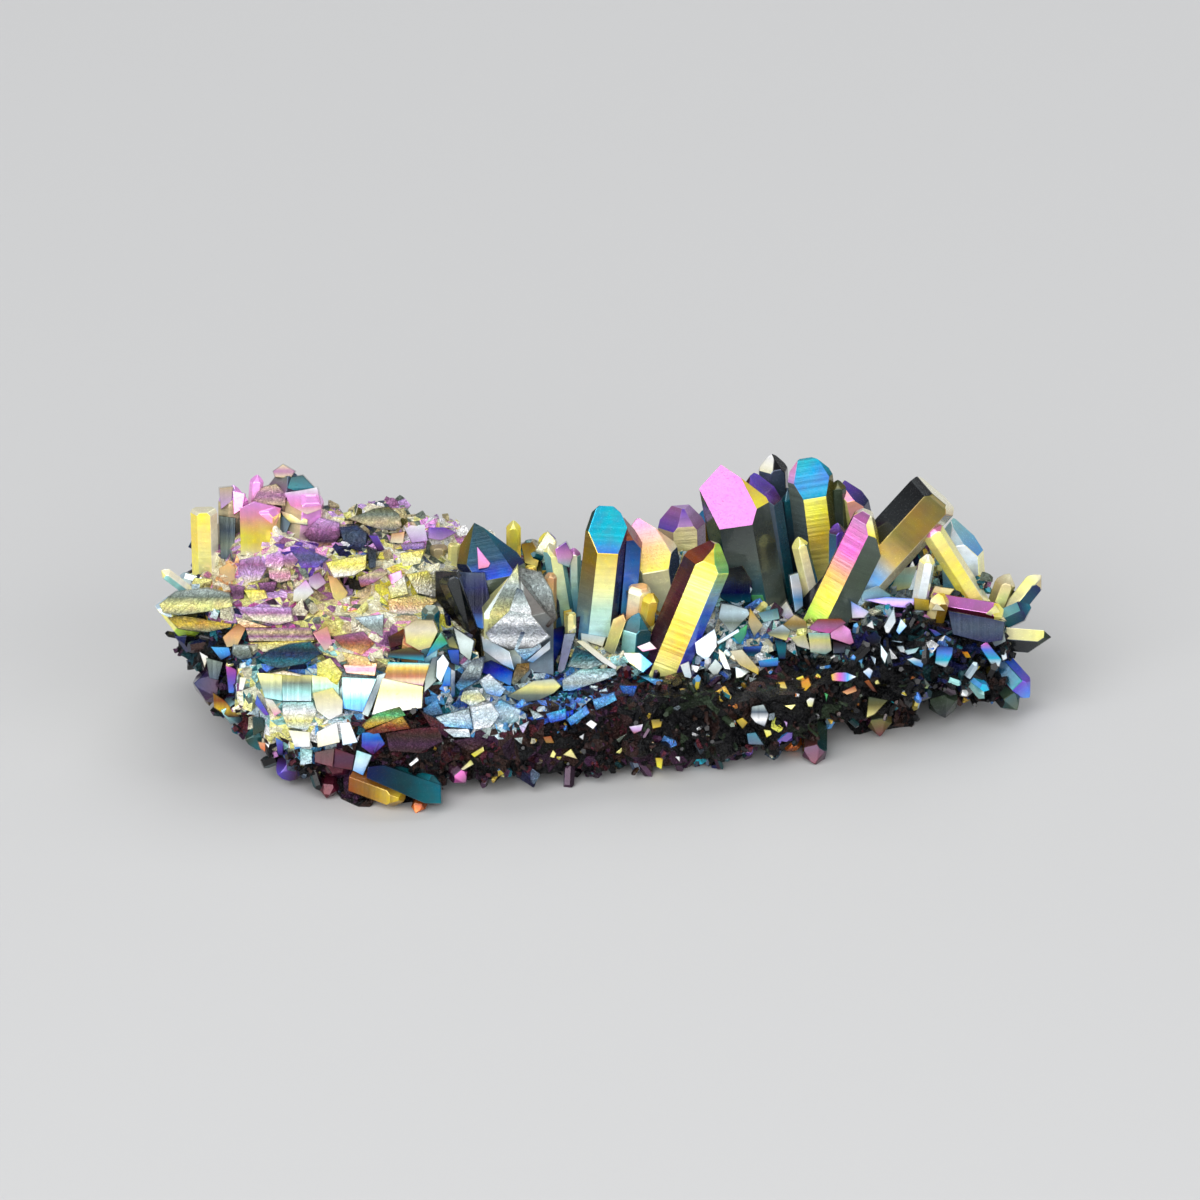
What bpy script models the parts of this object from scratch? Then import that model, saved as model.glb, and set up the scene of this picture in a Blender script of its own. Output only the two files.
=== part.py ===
"""Aura quartz cluster: one plate of quartz crystals grown together, as a single closed solid.

Crystals and lumps are set out on a layout drawing that looks down on the cluster from 25 degrees above
the horizon. On it, across and up are measured in millimetres from the drawing's zero, and back is the
real distance behind that zero.
"""

import math
import random
from dataclasses import dataclass

import bmesh
import bpy
from mathutils import Matrix, Vector

MM = 0.001
LAYOUT_ELEVATION = math.radians(25.0)
MIDDLE_ACROSS = 0.5  # the middle of the cluster's length on the layout drawing
MIDDLE_BACK = 23.6  # the middle of its depth
END_FACE_RISE = math.radians(38.2)  # a quartz point's faces lean this far from the prism's sides
FACES = 6
EVEN_ENDS = (0.0, 0.2, 0.0, 0.2, 0.0, 0.2)
FRONT_END = (1.0, 0.3, 0.0, 0.0, 0.0, 0.3)  # one end face grew over the others: the front one,
RIGHT_END = (0.4, 1.0, 0.4, 0.0, 0.0, 0.0)  # the front right one,
LEFT_END = (0.4, 0.0, 0.0, 0.0, 0.4, 1.0)  # the front left one,
BACK_END = (0.0, 0.0, 0.3, 1.0, 0.3, 0.0)  # or the back one
TALL_END = (1.6, 0.5, 0.0, 0.0, 0.0, 0.8)  # the front one, drawn out with its neighbours
BROAD_END = (1.15, 0.75, 0.6, 0.0, 0.0, 0.0)  # one broad face slopes from the left edge to the right
LOPPED_END = (1.1, 0.9, 0.6, 0.0, 0.0, 0.5)  # the same with a second face down the left edge
RUBBLE_CUTS = 4
SEED = 14


@dataclass(frozen=True)
class Crystal:
    """A hexagonal crystal from its buried foot to its tip: (across, up, back) in mm on the layout drawing."""

    foot: tuple
    tip: tuple
    width: float
    deep: float = 1.0  # depth as a share of the width
    turn: float = 0.0  # degrees about its own axis; at 0 a side faces the front
    ends: tuple = EVEN_ENDS  # how far each end face has come down, in radii, from the front to the right
    blunt: float = 0.0  # share of the point that is missing


@dataclass(frozen=True)
class Lump:
    """A piece of massive or broken quartz: (across, up, back) of its middle, and its size, in mm."""

    middle: tuple
    size: tuple
    turn: float = 0.0
    cuts: int = 7


@dataclass(frozen=True)
class Rubble:
    """A row of broken lumps between two points (x, y, z) in mm, each about the same size."""

    start: tuple
    end: tuple
    count: int
    size: tuple


@dataclass(frozen=True)
class Druse:
    """A row of small crystals between two points (x, y, z) in mm, growing along one direction."""

    start: tuple
    end: tuple
    grow: tuple
    count: int
    length: tuple
    width: tuple


LEFT_SIDE = (
    Crystal((-49.5, 21, 28), (-49.9, 38.0, 30), 3.4, blunt=1.0),
    Crystal((-46.4, 24, 31), (-46.2, 39.9, 35), 3.9, turn=12),
    Crystal((-43.0, 25, 32), (-42.6, 38.8, 34), 4.9, turn=8, blunt=0.9),
    Crystal((-44.6, 27, 35), (-43.2, 41.0, 37), 1.8),
    Crystal((-39.0, 30, 38), (-39.8, 42.2, 39), 5.9, blunt=0.45, turn=20),
    Crystal((-38.0, 30, 35), (-36.9, 40.6, 37), 5.3, turn=25, blunt=0.8),
    Crystal((-49.0, 24, 24), (-55.2, 28.8, 23), 1.6),
    Crystal((-44.0, 21.2, 23), (-56.1, 23.2, 19), 5.2, turn=15, ends=LEFT_END),
    Crystal((-44.0, 19, 23), (-53.8, 20.2, 19), 3.8, ends=LEFT_END),
    Crystal((-43.0, 14, 20), (-51.2, 14.6, 13), 4.6, turn=20),
    Crystal((-40.0, 12, 16), (-47.6, 11.0, 9), 4.0, turn=10),
    Crystal((-38.0, 9, 12), (-44.6, 7.4, 6), 3.5),
    Crystal((-36.0, 6, 8), (-40.5, 3.0, 2.5), 3.6, turn=14),
)
LEFT_FRONT = (
    Crystal((-24.0, 8, 15), (-22.0, 22.4, 9), 5.2, turn=22, blunt=0.85),
    Crystal((-21.0, 11, 18), (-21.3, 24.8, 15), 2.3, blunt=0.8),
    Crystal((-20.2, 7, 14), (-20.0, 18.9, 10), 4.4, turn=30, blunt=0.5),
    Crystal((-31.0, 8, 10), (-30.2, 15.6, 6), 4.4, turn=5, blunt=0.9),
    Crystal((-31.5, 6, 9), (-33.6, 4.7, -0.5), 4.6, turn=10, blunt=0.9),
    Crystal((-30.5, 2.9, 1), (-23.6, 0.3, -3.2), 4.1, turn=24, blunt=0.6),
    Crystal((-29.5, 3.9, 3), (-19.2, 1.0, -1.4), 3.6, turn=15, blunt=0.5),
    Crystal((-21.6, 1.8, 1), (-23.0, -1.7, -4), 1.9),
    Crystal((-19.0, 4.5, 3), (-16.6, 2.0, 0), 2.5, turn=20),
    Crystal((-33.5, 3.5, 4), (-34.2, 0.2, -0.5), 2.4, blunt=0.4),
)
MIDDLE = (
    Crystal((-18.7, 23, 30), (-18.3, 32.8, 31), 1.6, blunt=1.0),
    Crystal((-20.6, 23, 31), (-20.3, 32.9, 32), 2.3, blunt=1.0),
    Crystal((-10.7, 13, 19), (-14.7, 34.9, 24), 8.4, deep=0.8, turn=5, ends=LOPPED_END),
    Crystal((-13.6, 16, 19), (-19.4, 29.6, 20), 3.4, turn=10, blunt=0.9),
    Crystal((-10.4, 11, 16), (-10.4, 29.2, 16.5), 10.1, deep=0.85, turn=35),
    Crystal((-8.7, 18, 23), (-8.7, 29.9, 24), 1.5, blunt=0.9),
    Crystal((-6.3, 21, 23), (-6.2, 28.8, 24), 1.6, blunt=0.5),
    Crystal((-10.9, 24, 33), (-10.9, 35.2, 33), 1.9),
    Crystal((-6.9, 23, 34), (-6.6, 33.9, 34), 2.4, turn=15),
    Crystal((-4.0, 20, 25), (-6.0, 32.2, 26), 2.7, turn=12, ends=RIGHT_END),
    Crystal((-3.1, 20, 26), (-3.3, 31.8, 27), 1.8),
    Crystal((-3.7, 16, 19), (-3.7, 24.0, 20), 1.4, blunt=0.9),
    Crystal((-1.5, 13, 20), (1.1, 36.5, 23), 5.4, deep=0.8, turn=12, ends=TALL_END),
    Crystal((2.4, 19, 24), (3.7, 35.2, 25), 4.2, turn=25, ends=RIGHT_END),
    Crystal((8.2, 18, 28), (5.8, 35.2, 29), 6.9, turn=8, ends=BROAD_END),
    Crystal((4.0, 17, 21), (5.2, 28.0, 21.5), 3.3, turn=30, blunt=0.8),
    Crystal((4.6, 15, 19), (6.6, 26.2, 19.5), 2.3, turn=20, blunt=0.4),
    Crystal((3.8, 12, 17), (4.9, 23.8, 18), 4.1, turn=28),
    Crystal((10.6, 24, 36), (10.2, 38.1, 38), 6.1, turn=10, blunt=0.45),
    Crystal((5.6, 11, 16), (14.8, 33.0, 20), 6.2, deep=0.85, turn=2, blunt=0.3),
    Crystal((-1.0, 23, 38), (0.4, 33.6, 41), 3.4, turn=14),
    Crystal((-14.0, 22, 38), (-15.6, 31.8, 42), 3.3, turn=6),
)
RIGHT = (
    Crystal((20.8, 17, 32), (16.2, 41.9, 35), 8.4, deep=0.85, turn=-5, ends=BROAD_END),
    Crystal((23.0, 22, 36), (20.0, 41.1, 38.5), 4.9, turn=5, ends=RIGHT_END),
    Crystal((28.8, 23, 38), (26.2, 43.0, 40), 5.8, turn=8, ends=FRONT_END, blunt=0.2),
    Crystal((22.6, 27, 42), (21.8, 43.8, 43), 3.9, turn=20),
    Crystal((30.6, 27, 39), (30.0, 40.4, 40), 2.1),
    Crystal((34.4, 27, 40), (31.4, 40.1, 41), 4.0, turn=10, ends=RIGHT_END),
    Crystal((28.2, 20, 31), (24.9, 33.2, 33), 2.3, turn=20),
    Crystal((30.0, 26, 36), (30.0, 35.0, 37), 2.4, turn=25),
    Crystal((24.8, 15, 26), (35.2, 36.4, 30), 6.2, deep=0.85, turn=26, ends=RIGHT_END, blunt=0.3),
    Crystal((27.8, 22.5, 30), (44.8, 41.1, 34), 7.3, deep=0.85, turn=9, blunt=1.0),
    Crystal((49.4, 22, 33), (41.0, 35.0, 31.5), 3.0, turn=20, blunt=0.4),
    Crystal((46.8, 22, 36), (46.0, 35.2, 38), 4.6, turn=14, ends=RIGHT_END),
    Crystal((39.4, 20, 29), (41.4, 31.0, 29), 2.1, turn=10, blunt=0.3),
    Crystal((42.0, 24.6, 31), (51.6, 23.0, 29), 3.2, turn=15, blunt=0.5),
    Crystal((41.6, 20, 28), (43.2, 26.2, 27.5), 2.7, turn=20, blunt=0.4),
    Crystal((43.0, 21.6, 29), (51.8, 20.9, 26.5), 3.2, turn=10, blunt=0.4),
    Crystal((48.6, 20, 34), (51.8, 28.6, 36), 2.8, turn=10),
    Crystal((50.0, 21, 34), (55.9, 28.4, 36), 2.9, turn=22),
    Crystal((47.6, 21, 31), (54.8, 24.3, 32), 2.9, turn=18, blunt=0.3),
    Crystal((46.4, 20.4, 29), (57.0, 19.6, 28), 3.4, turn=12, ends=LEFT_END),
    Crystal((49.0, 18.5, 28), (54.4, 12.4, 24), 3.6, turn=16),
    Crystal((48.6, 16, 28), (52.8, 11.0, 22.5), 3.1, turn=10),
    Crystal((43.0, 17.5, 28), (43.3, 9.9, 20), 4.0, turn=24, blunt=0.3),
    Crystal((35.0, 14, 23), (35.2, 7.6, 17.5), 3.3, turn=12),
    Crystal((28.0, 12, 19), (23.2, 5.9, 12.6), 2.6, turn=8),
    Crystal((27.0, 10, 17), (26.9, 4.2, 9.6), 3.4, turn=20, blunt=0.2),
)
BACK = (
    Crystal((-47.0, 25, 36), (-50.6, 33.6, 43), 4.2, turn=10),
    Crystal((-36.0, 26, 40), (-38.6, 34.0, 49), 4.6, turn=15),
    Crystal((-25.0, 24, 40), (-25.6, 33.4, 48), 5.3, turn=22, ends=BACK_END),
    Crystal((-7.0, 22, 42), (-7.6, 31.6, 49), 5.1, turn=12, ends=BACK_END),
    Crystal((5.0, 23, 43), (5.6, 33.6, 49), 4.2, turn=5),
    Crystal((14.6, 24, 44), (14.0, 37.2, 47), 5.8, turn=15, ends=BACK_END),
    Crystal((33.0, 25, 46), (34.4, 35.8, 50), 5.4, turn=24),
    Crystal((42.0, 24, 42), (44.6, 33.2, 47), 4.1, turn=12),
)
LUMPS = (
    Lump((-27.0, 8.8, 9), (24, 17, 9), turn=-6),
    Lump((-32.0, 16.4, 19), (30, 22, 13), turn=8),
    Lump((-33.5, 24.2, 30), (31, 22, 14), turn=-6),
    Lump((-44.5, 24.6, 27), (13, 16, 9), turn=14),
    Lump((-8.0, 16.2, 24), (34, 26, 9), turn=4),
    Lump((13.0, 17.4, 27), (34, 26, 9), turn=10),
    Lump((31.0, 20.2, 33), (32, 22, 9), turn=20),
    Lump((42.0, 21.4, 34.5), (15, 14, 8), turn=24),
    Lump((-13.0, 21.6, 37), (36, 12, 10), turn=-3),
    Lump((16.0, 22.4, 39), (34, 12, 10), turn=5),
    Lump((-34.0, 25.0, 38), (26, 10, 12), turn=6),
)
CRUST = (
    Lump((-37.6, 11.4, 8), (11, 8, 8), turn=20, cuts=9),
    Lump((-33.0, 8.4, 4), (6, 5, 5), turn=35),
    Lump((-39.4, 18.4, 14), (10, 5, 3.6), turn=6, cuts=5),
    Lump((-41.0, 21.6, 17), (13, 7, 4), turn=-8, cuts=5),
    Lump((-42.0, 24.2, 20), (9, 7, 4), turn=12, cuts=5),
    Lump((-27.8, 34.6, 37), (6, 6, 5), turn=10),
    Lump((-21.0, 33.0, 35), (7, 6, 5), turn=25),
    Lump((-14.0, 14.0, 14), (12, 8, 6), turn=-14, cuts=9),
    Lump((-5.0, 14.4, 15), (10, 7, 5), turn=18, cuts=9),
    Lump((16.4, 20.4, 21), (6, 5, 5), turn=35),
    Lump((20.0, 21.4, 23), (5, 5, 4), turn=10),
    Lump((48.4, 15.6, 26), (7, 6, 5), turn=-12),
    Lump((-27.0, 1.0, 3), (12, 9, 6), turn=15),
    Lump((-4.0, 7.2, 15), (10, 8, 6), turn=-10),
    Lump((12.0, 7.2, 15), (11, 8, 6), turn=5),
    Lump((35.0, 11.0, 24), (9, 8, 6), turn=20),
    Lump((-38.0, 17.0, 34), (11, 11, 8), turn=10),
    Lump((3.0, 19.6, 42), (13, 9, 6), turn=-5),
    Lump((38.0, 19.2, 41), (11, 9, 6), turn=25),
)
RUBBLE = (
    Rubble((-40, 7, 6), (-19, 3, 4.4), 4, (8, 7, 6)),
    Rubble((-50, 22, 14), (-39, 9, 7), 4, (8, 7, 6)),
    Rubble((-15, 6.5, 6), (24, 14, 6), 7, (9, 7, 8)),
    Rubble((27, 17, 7), (49, 28, 8), 4, (8, 7, 7)),
    Rubble((-44, 13, 12), (-20, 10, 10), 4, (9, 7, 5)),
    Rubble((-48, 20, 16.5), (-20, 18, 15), 4, (10, 8, 5)),
    Rubble((-45, 28, 20), (-22, 26, 18.5), 4, (9, 8, 5)),
    Rubble((-42, 36, 20.0), (-18, 34, 17.2), 5, (8, 7, 5)),
    Rubble((-14, 16, 11), (42, 29, 11), 5, (9, 8, 4)),
    Rubble((-47, 38, 12), (-22, 42, 11), 3, (11, 9, 10)),
    Rubble((-21, 42, 8), (42, 41, 7), 6, (12, 9, 8)),
)
DRUSES = (
    Druse((-46, 14, 9), (-32, 2, 3.5), (-0.5, -0.9, -0.25), 6, (4.5, 6.5), (2.4, 3.4)),
    Druse((-14, 7, 5), (23, 13, 4), (0.1, -1.0, -0.1), 8, (5.0, 6.5), (2.0, 2.8)),
    Druse((29, 17, 6), (46, 26, 7), (0.3, -1.0, 0.1), 6, (5.5, 7.5), (2.4, 3.4)),
    Druse((30, 18, 9), (48, 28, 10), (0.2, -0.8, 0.6), 5, (4.5, 6.5), (2.2, 3.2)),
    Druse((-8, 28, 10), (16, 31, 10), (0.0, 0.0, 1.0), 5, (8.0, 12.0), (2.6, 4.2)),
    Druse((-16, 36, 10), (12, 37, 10), (-0.1, 0.1, 1.0), 5, (9.0, 13.0), (3.0, 4.6)),
    Druse((34, 38, 9), (46, 34, 9), (0.3, 0.1, 1.0), 4, (8.0, 11.0), (2.6, 4.0)),
    Druse((-44, 43, 9), (42, 43, 7), (0.0, 1.0, 0.3), 9, (6.0, 9.0), (3.4, 5.2)),
)


def clear_scene():
    for thing in list(bpy.data.objects):
        bpy.data.objects.remove(thing)


def from_drawing(point):
    """The real (x, y, z) of a point on the layout drawing, measured from the middle of the cluster's base."""
    across, up, back = point
    height = (up - back * math.sin(LAYOUT_ELEVATION)) / math.cos(LAYOUT_ELEVATION)
    return from_plan((across, back, height))


def from_plan(point):
    x, y, z = point
    return Vector((x - MIDDLE_ACROSS, y - MIDDLE_BACK, z))


def cut_away(bm, point, normal):
    """Take off what lies past a plane, and close the cut with one flat face."""
    everything = bm.verts[:] + bm.edges[:] + bm.faces[:]
    bmesh.ops.bisect_plane(bm, geom=everything, plane_co=point, plane_no=normal, clear_outer=True)
    rim = [edge for edge in bm.edges if edge.is_boundary]
    if rim:
        bmesh.ops.edgeloop_fill(bm, edges=rim)


def mesh_object(name, bm, placing, collection):
    """Write the shape, given in millimetres, as an object in metres."""
    bm.transform(Matrix.Scale(MM, 4) @ placing)
    bmesh.ops.recalc_face_normals(bm, faces=bm.faces)
    mesh = bpy.data.meshes.new(name)
    bm.to_mesh(mesh)
    bm.free()
    made = bpy.data.objects.new(name, mesh)
    collection.objects.link(made)
    return made


def axis_frame(foot, tip):
    """A frame at the foot whose Z runs to the tip and whose X stays towards the right."""
    along = (tip - foot).normalized()
    right = Vector((1, 0, 0))
    right = (right - right.dot(along) * along).normalized()
    turned = Matrix((right, along.cross(right), along)).transposed()
    return Matrix.Translation(foot) @ turned.to_4x4()


def grow_crystal(name, foot, tip, shape, rng, collection):
    """A six-sided prism closed by six leaning end faces, as quartz grows."""
    length = (tip - foot).length
    radius = shape.width / 2
    point_height = radius * math.cos(math.pi / FACES) / math.tan(END_FACE_RISE)
    bm = bmesh.new()
    middle = Matrix.Translation((0, 0, length / 2)) @ Matrix.Rotation(math.pi / FACES, 4, "Z")
    bmesh.ops.create_cone(
        bm, cap_ends=True, segments=FACES, radius1=radius, radius2=radius, depth=length, matrix=middle
    )
    for face, down in enumerate(shape.ends):
        azimuth = math.radians(-90 + face * 360 / FACES)
        lean = math.cos(END_FACE_RISE)
        normal = Vector((lean * math.cos(azimuth), lean * math.sin(azimuth), math.sin(END_FACE_RISE)))
        lowered = max(shape.ends) / 2 - down - rng.uniform(0.0, 0.1)
        cut_away(bm, Vector((0, 0, length + lowered * radius)), normal)
    if shape.blunt:
        cut_away(bm, Vector((0, 0, length - shape.blunt * 0.9 * point_height)), Vector((0, 0, 1)))
    squash = Matrix.Diagonal((1, shape.deep, 1, 1))
    turned = Matrix.Rotation(math.radians(shape.turn), 4, "Z")
    return mesh_object(name, bm, axis_frame(foot, tip) @ squash @ turned, collection)


def break_lump(name, middle, lump, rng, collection):
    """An angular block with its corners broken off by flat faces."""
    bm = bmesh.new()
    bmesh.ops.create_cube(bm, size=2.0)
    for _ in range(lump.cuts):
        normal = Vector([rng.gauss(0, 1) for _ in range(3)]).normalized()
        cut_away(bm, normal * rng.uniform(0.86, 1.12), normal)
    size = Matrix.Diagonal((*(side / 2 for side in lump.size), 1))
    turned = Matrix.Rotation(math.radians(lump.turn), 4, "Z")
    placing = Matrix.Translation(middle) @ turned @ size
    return mesh_object(name, bm, placing, collection)


def heap_rubble(name, rubble, rng, collection):
    for number in range(rubble.count):
        share = (number + rng.uniform(0.3, 0.7)) / rubble.count
        middle = from_plan(Vector(rubble.start).lerp(Vector(rubble.end), share))
        size = tuple(side * rng.uniform(0.8, 1.25) for side in rubble.size)
        break_lump(f"{name}_{number:02}", middle, Lump(middle, size, rng.uniform(-40, 40), RUBBLE_CUTS), rng, collection)


def grow_druse(name, druse, rng, collection):
    for number in range(druse.count):
        share = (number + rng.uniform(0.2, 0.8)) / druse.count
        foot = from_plan(Vector(druse.start).lerp(Vector(druse.end), share))
        grow = Vector(druse.grow) + Vector([rng.uniform(-0.35, 0.35) for _ in range(3)])
        tip = foot + grow.normalized() * rng.uniform(*druse.length)
        shape = Crystal(foot, tip, rng.uniform(*druse.width), turn=rng.uniform(0, 60), blunt=0.15)
        grow_crystal(f"{name}_{number:02}", foot, tip, shape, rng, collection)


def helper_collection(name):
    made = bpy.data.collections.new(name)
    bpy.context.scene.collection.children.link(made)
    return made


def hide_helpers(collection):
    for thing in collection.objects:
        thing.hide_render = True
        thing.display_type = "WIRE"


def grow_everything(collection):
    """All the crystals and lumps that are joined to the plate."""
    rng = random.Random(SEED)
    groups = {"left_side": LEFT_SIDE, "left_front": LEFT_FRONT, "middle": MIDDLE, "right": RIGHT, "back": BACK}
    for group, crystals in groups.items():
        for number, shape in enumerate(crystals):
            foot = from_drawing(shape.foot)
            tip = from_drawing(shape.tip)
            grow_crystal(f"{group}_{number:02}", foot, tip, shape, rng, collection)
    for number, lump in enumerate(LUMPS[1:] + CRUST):
        break_lump(f"lump_{number:02}", from_drawing(lump.middle), lump, rng, collection)
    for number, rubble in enumerate(RUBBLE):
        heap_rubble(f"rubble_{number}", rubble, rng, collection)
    for number, druse in enumerate(DRUSES):
        grow_druse(f"druse_{number}", druse, rng, collection)
    hide_helpers(collection)


def bench_cutter(collection):
    """The level surface that the cluster was ground flat on: everything below zero comes off."""
    bm = bmesh.new()
    bmesh.ops.create_cube(bm, size=1.0)
    size = Matrix.Diagonal((200, 160, 40, 1))
    cutter = mesh_object("bench_cutter", bm, Matrix.Translation((0, 0, -20)) @ size, collection)
    hide_helpers(collection)
    return cutter


def aura_quartz():
    """Quartz under a thin metal film: dark, mirror-like and iridescent."""
    material = bpy.data.materials.new("aura_quartz")
    material.use_nodes = True
    shader = material.node_tree.nodes["Principled BSDF"]
    shader.inputs["Base Color"].default_value = (0.42, 0.44, 0.34, 1.0)
    shader.inputs["Metallic"].default_value = 0.8
    shader.inputs["Roughness"].default_value = 0.2
    return material


def join_with(target, collection, cutter):
    joined = target.modifiers.new("grown_together", "BOOLEAN")
    joined.operation = "UNION"
    joined.operand_type = "COLLECTION"
    joined.collection = collection
    joined.solver = "EXACT"
    ground = target.modifiers.new("ground_flat", "BOOLEAN")
    ground.operation = "DIFFERENCE"
    ground.object = cutter
    ground.solver = "EXACT"


def main():
    clear_scene()
    cluster = helper_collection("aura_quartz_cluster")
    growths = helper_collection("growths")
    cutters = helper_collection("cutters")
    first = LUMPS[0]
    plate = break_lump("quartz_cluster", from_drawing(first.middle), first, random.Random(SEED + 1), cluster)
    plate.data.materials.append(aura_quartz())
    grow_everything(growths)
    join_with(plate, growths, bench_cutter(cutters))


main()
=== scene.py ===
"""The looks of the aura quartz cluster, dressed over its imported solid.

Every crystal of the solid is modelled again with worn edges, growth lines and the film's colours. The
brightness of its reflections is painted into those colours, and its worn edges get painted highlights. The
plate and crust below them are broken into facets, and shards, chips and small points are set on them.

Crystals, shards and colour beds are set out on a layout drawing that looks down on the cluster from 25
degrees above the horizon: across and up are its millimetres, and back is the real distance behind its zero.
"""

import logging
import math
import random
from dataclasses import dataclass, field
from enum import Enum

import bpy
import numpy as np
from mathutils import Matrix, Vector
from mathutils.bvhtree import BVHTree


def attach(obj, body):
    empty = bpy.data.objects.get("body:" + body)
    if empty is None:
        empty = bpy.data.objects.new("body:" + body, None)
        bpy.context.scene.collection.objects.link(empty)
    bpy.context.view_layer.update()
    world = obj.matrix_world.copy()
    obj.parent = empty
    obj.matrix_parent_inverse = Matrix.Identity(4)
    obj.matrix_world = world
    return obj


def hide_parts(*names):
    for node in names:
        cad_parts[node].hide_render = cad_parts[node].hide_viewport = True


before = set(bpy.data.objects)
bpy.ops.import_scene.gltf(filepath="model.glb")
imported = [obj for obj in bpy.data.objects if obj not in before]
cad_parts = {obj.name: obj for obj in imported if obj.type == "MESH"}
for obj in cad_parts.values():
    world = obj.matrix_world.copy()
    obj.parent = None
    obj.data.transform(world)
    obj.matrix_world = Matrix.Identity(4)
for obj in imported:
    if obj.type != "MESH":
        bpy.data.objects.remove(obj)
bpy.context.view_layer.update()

LOG = logging.getLogger("aura_quartz")
MM = 0.001
NODE = "quartz_cluster"
BODY = "root"
FILM = "film"  # the attribute that holds the colour at each corner: the film's own, with painted reflections, painted highlights and painted shade
ALONG = "along"  # millimetres along a crystal's axis
GRAIN = "grain"  # how deep its growth lines are
LINE_RUN = 90.0  # mm of growth lines, from which each piece draws the stretch that it shows
FACES = 6
CHIP_KINDS = 12
POINT_KINDS = 6
SEED = 14
Point = tuple[float, float, float]
Pair = tuple[float, float]


class Tint(Enum):
    """The colours that the film shows, each as red, green and blue of 255 on a screen.

    Each is the film's own hue with the brightness of what a face reflects painted in. Dark tints are partly
    painted shade, and pale ones are partly painted highlights.
    """

    WHITE = (250, 252, 255)
    ICE = (205, 228, 240)
    SILVER = (178, 192, 190)
    GREY = (118, 120, 116)
    SLATE = (66, 80, 98)
    GRAPHITE = (44, 48, 50)
    BLACK = (12, 12, 16)
    CREAM = (244, 238, 205)
    BEIGE = (204, 188, 145)
    STRAW = (245, 238, 150)
    YELLOW = (250, 232, 92)
    GOLD = (212, 178, 66)
    OCHRE = (138, 106, 36)
    OLIVE = (96, 92, 42)
    MOSS = (52, 66, 48)
    SAGE = (112, 124, 112)
    SHALE = (74, 84, 78)
    LIME = (186, 226, 84)
    GREEN = (92, 190, 120)
    AQUA = (160, 216, 214)
    TEAL = (28, 110, 124)
    PINE = (18, 58, 64)
    CYAN = (40, 178, 204)
    SKY = (96, 172, 232)
    AZURE = (82, 138, 226)
    BLUE = (38, 80, 200)
    NAVY = (20, 30, 78)
    VIOLET = (112, 78, 186)
    LILAC = (206, 168, 226)
    ORCHID = (250, 172, 242)
    ROSE = (198, 112, 188)
    PINK = (250, 158, 204)
    MAGENTA = (206, 92, 170)
    MAUVE = (158, 104, 150)
    PLUM = (66, 36, 64)
    MAROON = (88, 30, 44)
    BROWN = (58, 38, 34)
    RUST = (142, 74, 36)
    ORANGE = (236, 136, 58)
    PEACH = (250, 192, 136)

    def linear(self) -> np.ndarray:
        """The colour as light, by the screen's sRGB curve."""
        share = np.array(self.value) / 255
        return np.where(share <= 0.04045, share / 12.92, ((share + 0.055) / 1.055) ** 2.4)


def lights(text: str, mark: str | None = None) -> list[np.ndarray]:
    """The tints that a text names as light, where a mark or else a space parts the names."""
    return [Tint[name.strip().upper()].linear() for name in text.split(mark)]


def washes(text: str) -> list[list[np.ndarray]]:
    """Read colour washes such as "olive | cyan>azure | blue", from the left face to the right one.

    Args:
        text: one wash for every face, or three for the left, front and right ones; > leads down a face.

    Returns:
        Three lists of colours, each from a face's top to its foot.
    """
    found = [lights(part, ">") for part in text.split("|")]
    return found if len(found) == 3 else found[:1] * 3


class End(Enum):
    """How far each end face has come down, in radii: the front one first, then round to the right."""

    EVEN = (0.0, 0.2, 0.0, 0.2, 0.0, 0.2)
    FRONT = (1.0, 0.3, 0.0, 0.0, 0.0, 0.3)
    RIGHT = (0.4, 1.0, 0.4, 0.0, 0.0, 0.0)
    LEFT = (0.4, 0.0, 0.0, 0.0, 0.4, 1.0)
    BACK = (0.0, 0.0, 0.3, 1.0, 0.3, 0.0)
    TALL = (1.6, 0.5, 0.0, 0.0, 0.0, 0.8)
    BROAD = (1.15, 0.75, 0.6, 0.0, 0.0, 0.0)
    LOPPED = (1.1, 0.9, 0.6, 0.0, 0.0, 0.5)


@dataclass(frozen=True)
class Crystal:
    """A hexagonal crystal: (across, up, back) of its foot and tip, its width, and its washes of colour."""

    foot: Point
    tip: Point
    width: float
    caps: str
    sides: str
    deep: float = 1.0  # depth as a share of the width
    turn: float = 0.0  # degrees about its own axis
    end: End = End.EVEN
    blunt: float = 0.0  # share of the point that is missing
    lines: float = 0.35  # depth of its growth lines


@dataclass(frozen=True)
class Drawing:
    """The layout drawing, and the way from it to the row frame."""

    elevation: float = math.radians(25.0)
    middle_across: float = 0.5
    middle_back: float = 23.6

    @property
    def right(self) -> Vector:
        """The drawing's direction across."""
        return Vector((1, 0, 0))

    @property
    def up(self) -> Vector:
        """The drawing's direction up."""
        return Vector((0, math.sin(self.elevation), math.cos(self.elevation)))

    @property
    def away(self) -> Vector:
        """The direction that the drawing looks in."""
        return Vector((0, math.cos(self.elevation), -math.sin(self.elevation)))

    @property
    def zero(self) -> Vector:
        """The drawing's zero in the row frame, in millimetres."""
        return self.place((0, 0, 0))

    def place(self, point: Point) -> Vector:
        """Find a point of the drawing in the row frame.

        Args:
            point: (across, up, back).

        Returns:
            The point in millimetres.
        """
        across, up, back = point
        height = (up - back * math.sin(self.elevation)) / math.cos(self.elevation)
        return Vector((across - self.middle_across, back - self.middle_back, height))

    def read(self, points: np.ndarray) -> np.ndarray:
        """Find points of the row frame on the drawing.

        Args:
            points: the points in millimetres.

        Returns:
            (across, up, back) of each.
        """
        back = points[:, 1] + self.middle_back
        up = points[:, 2] * math.cos(self.elevation) + back * math.sin(self.elevation)
        return np.column_stack([points[:, 0] + self.middle_across, up, back])


DRAWING = Drawing()


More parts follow.
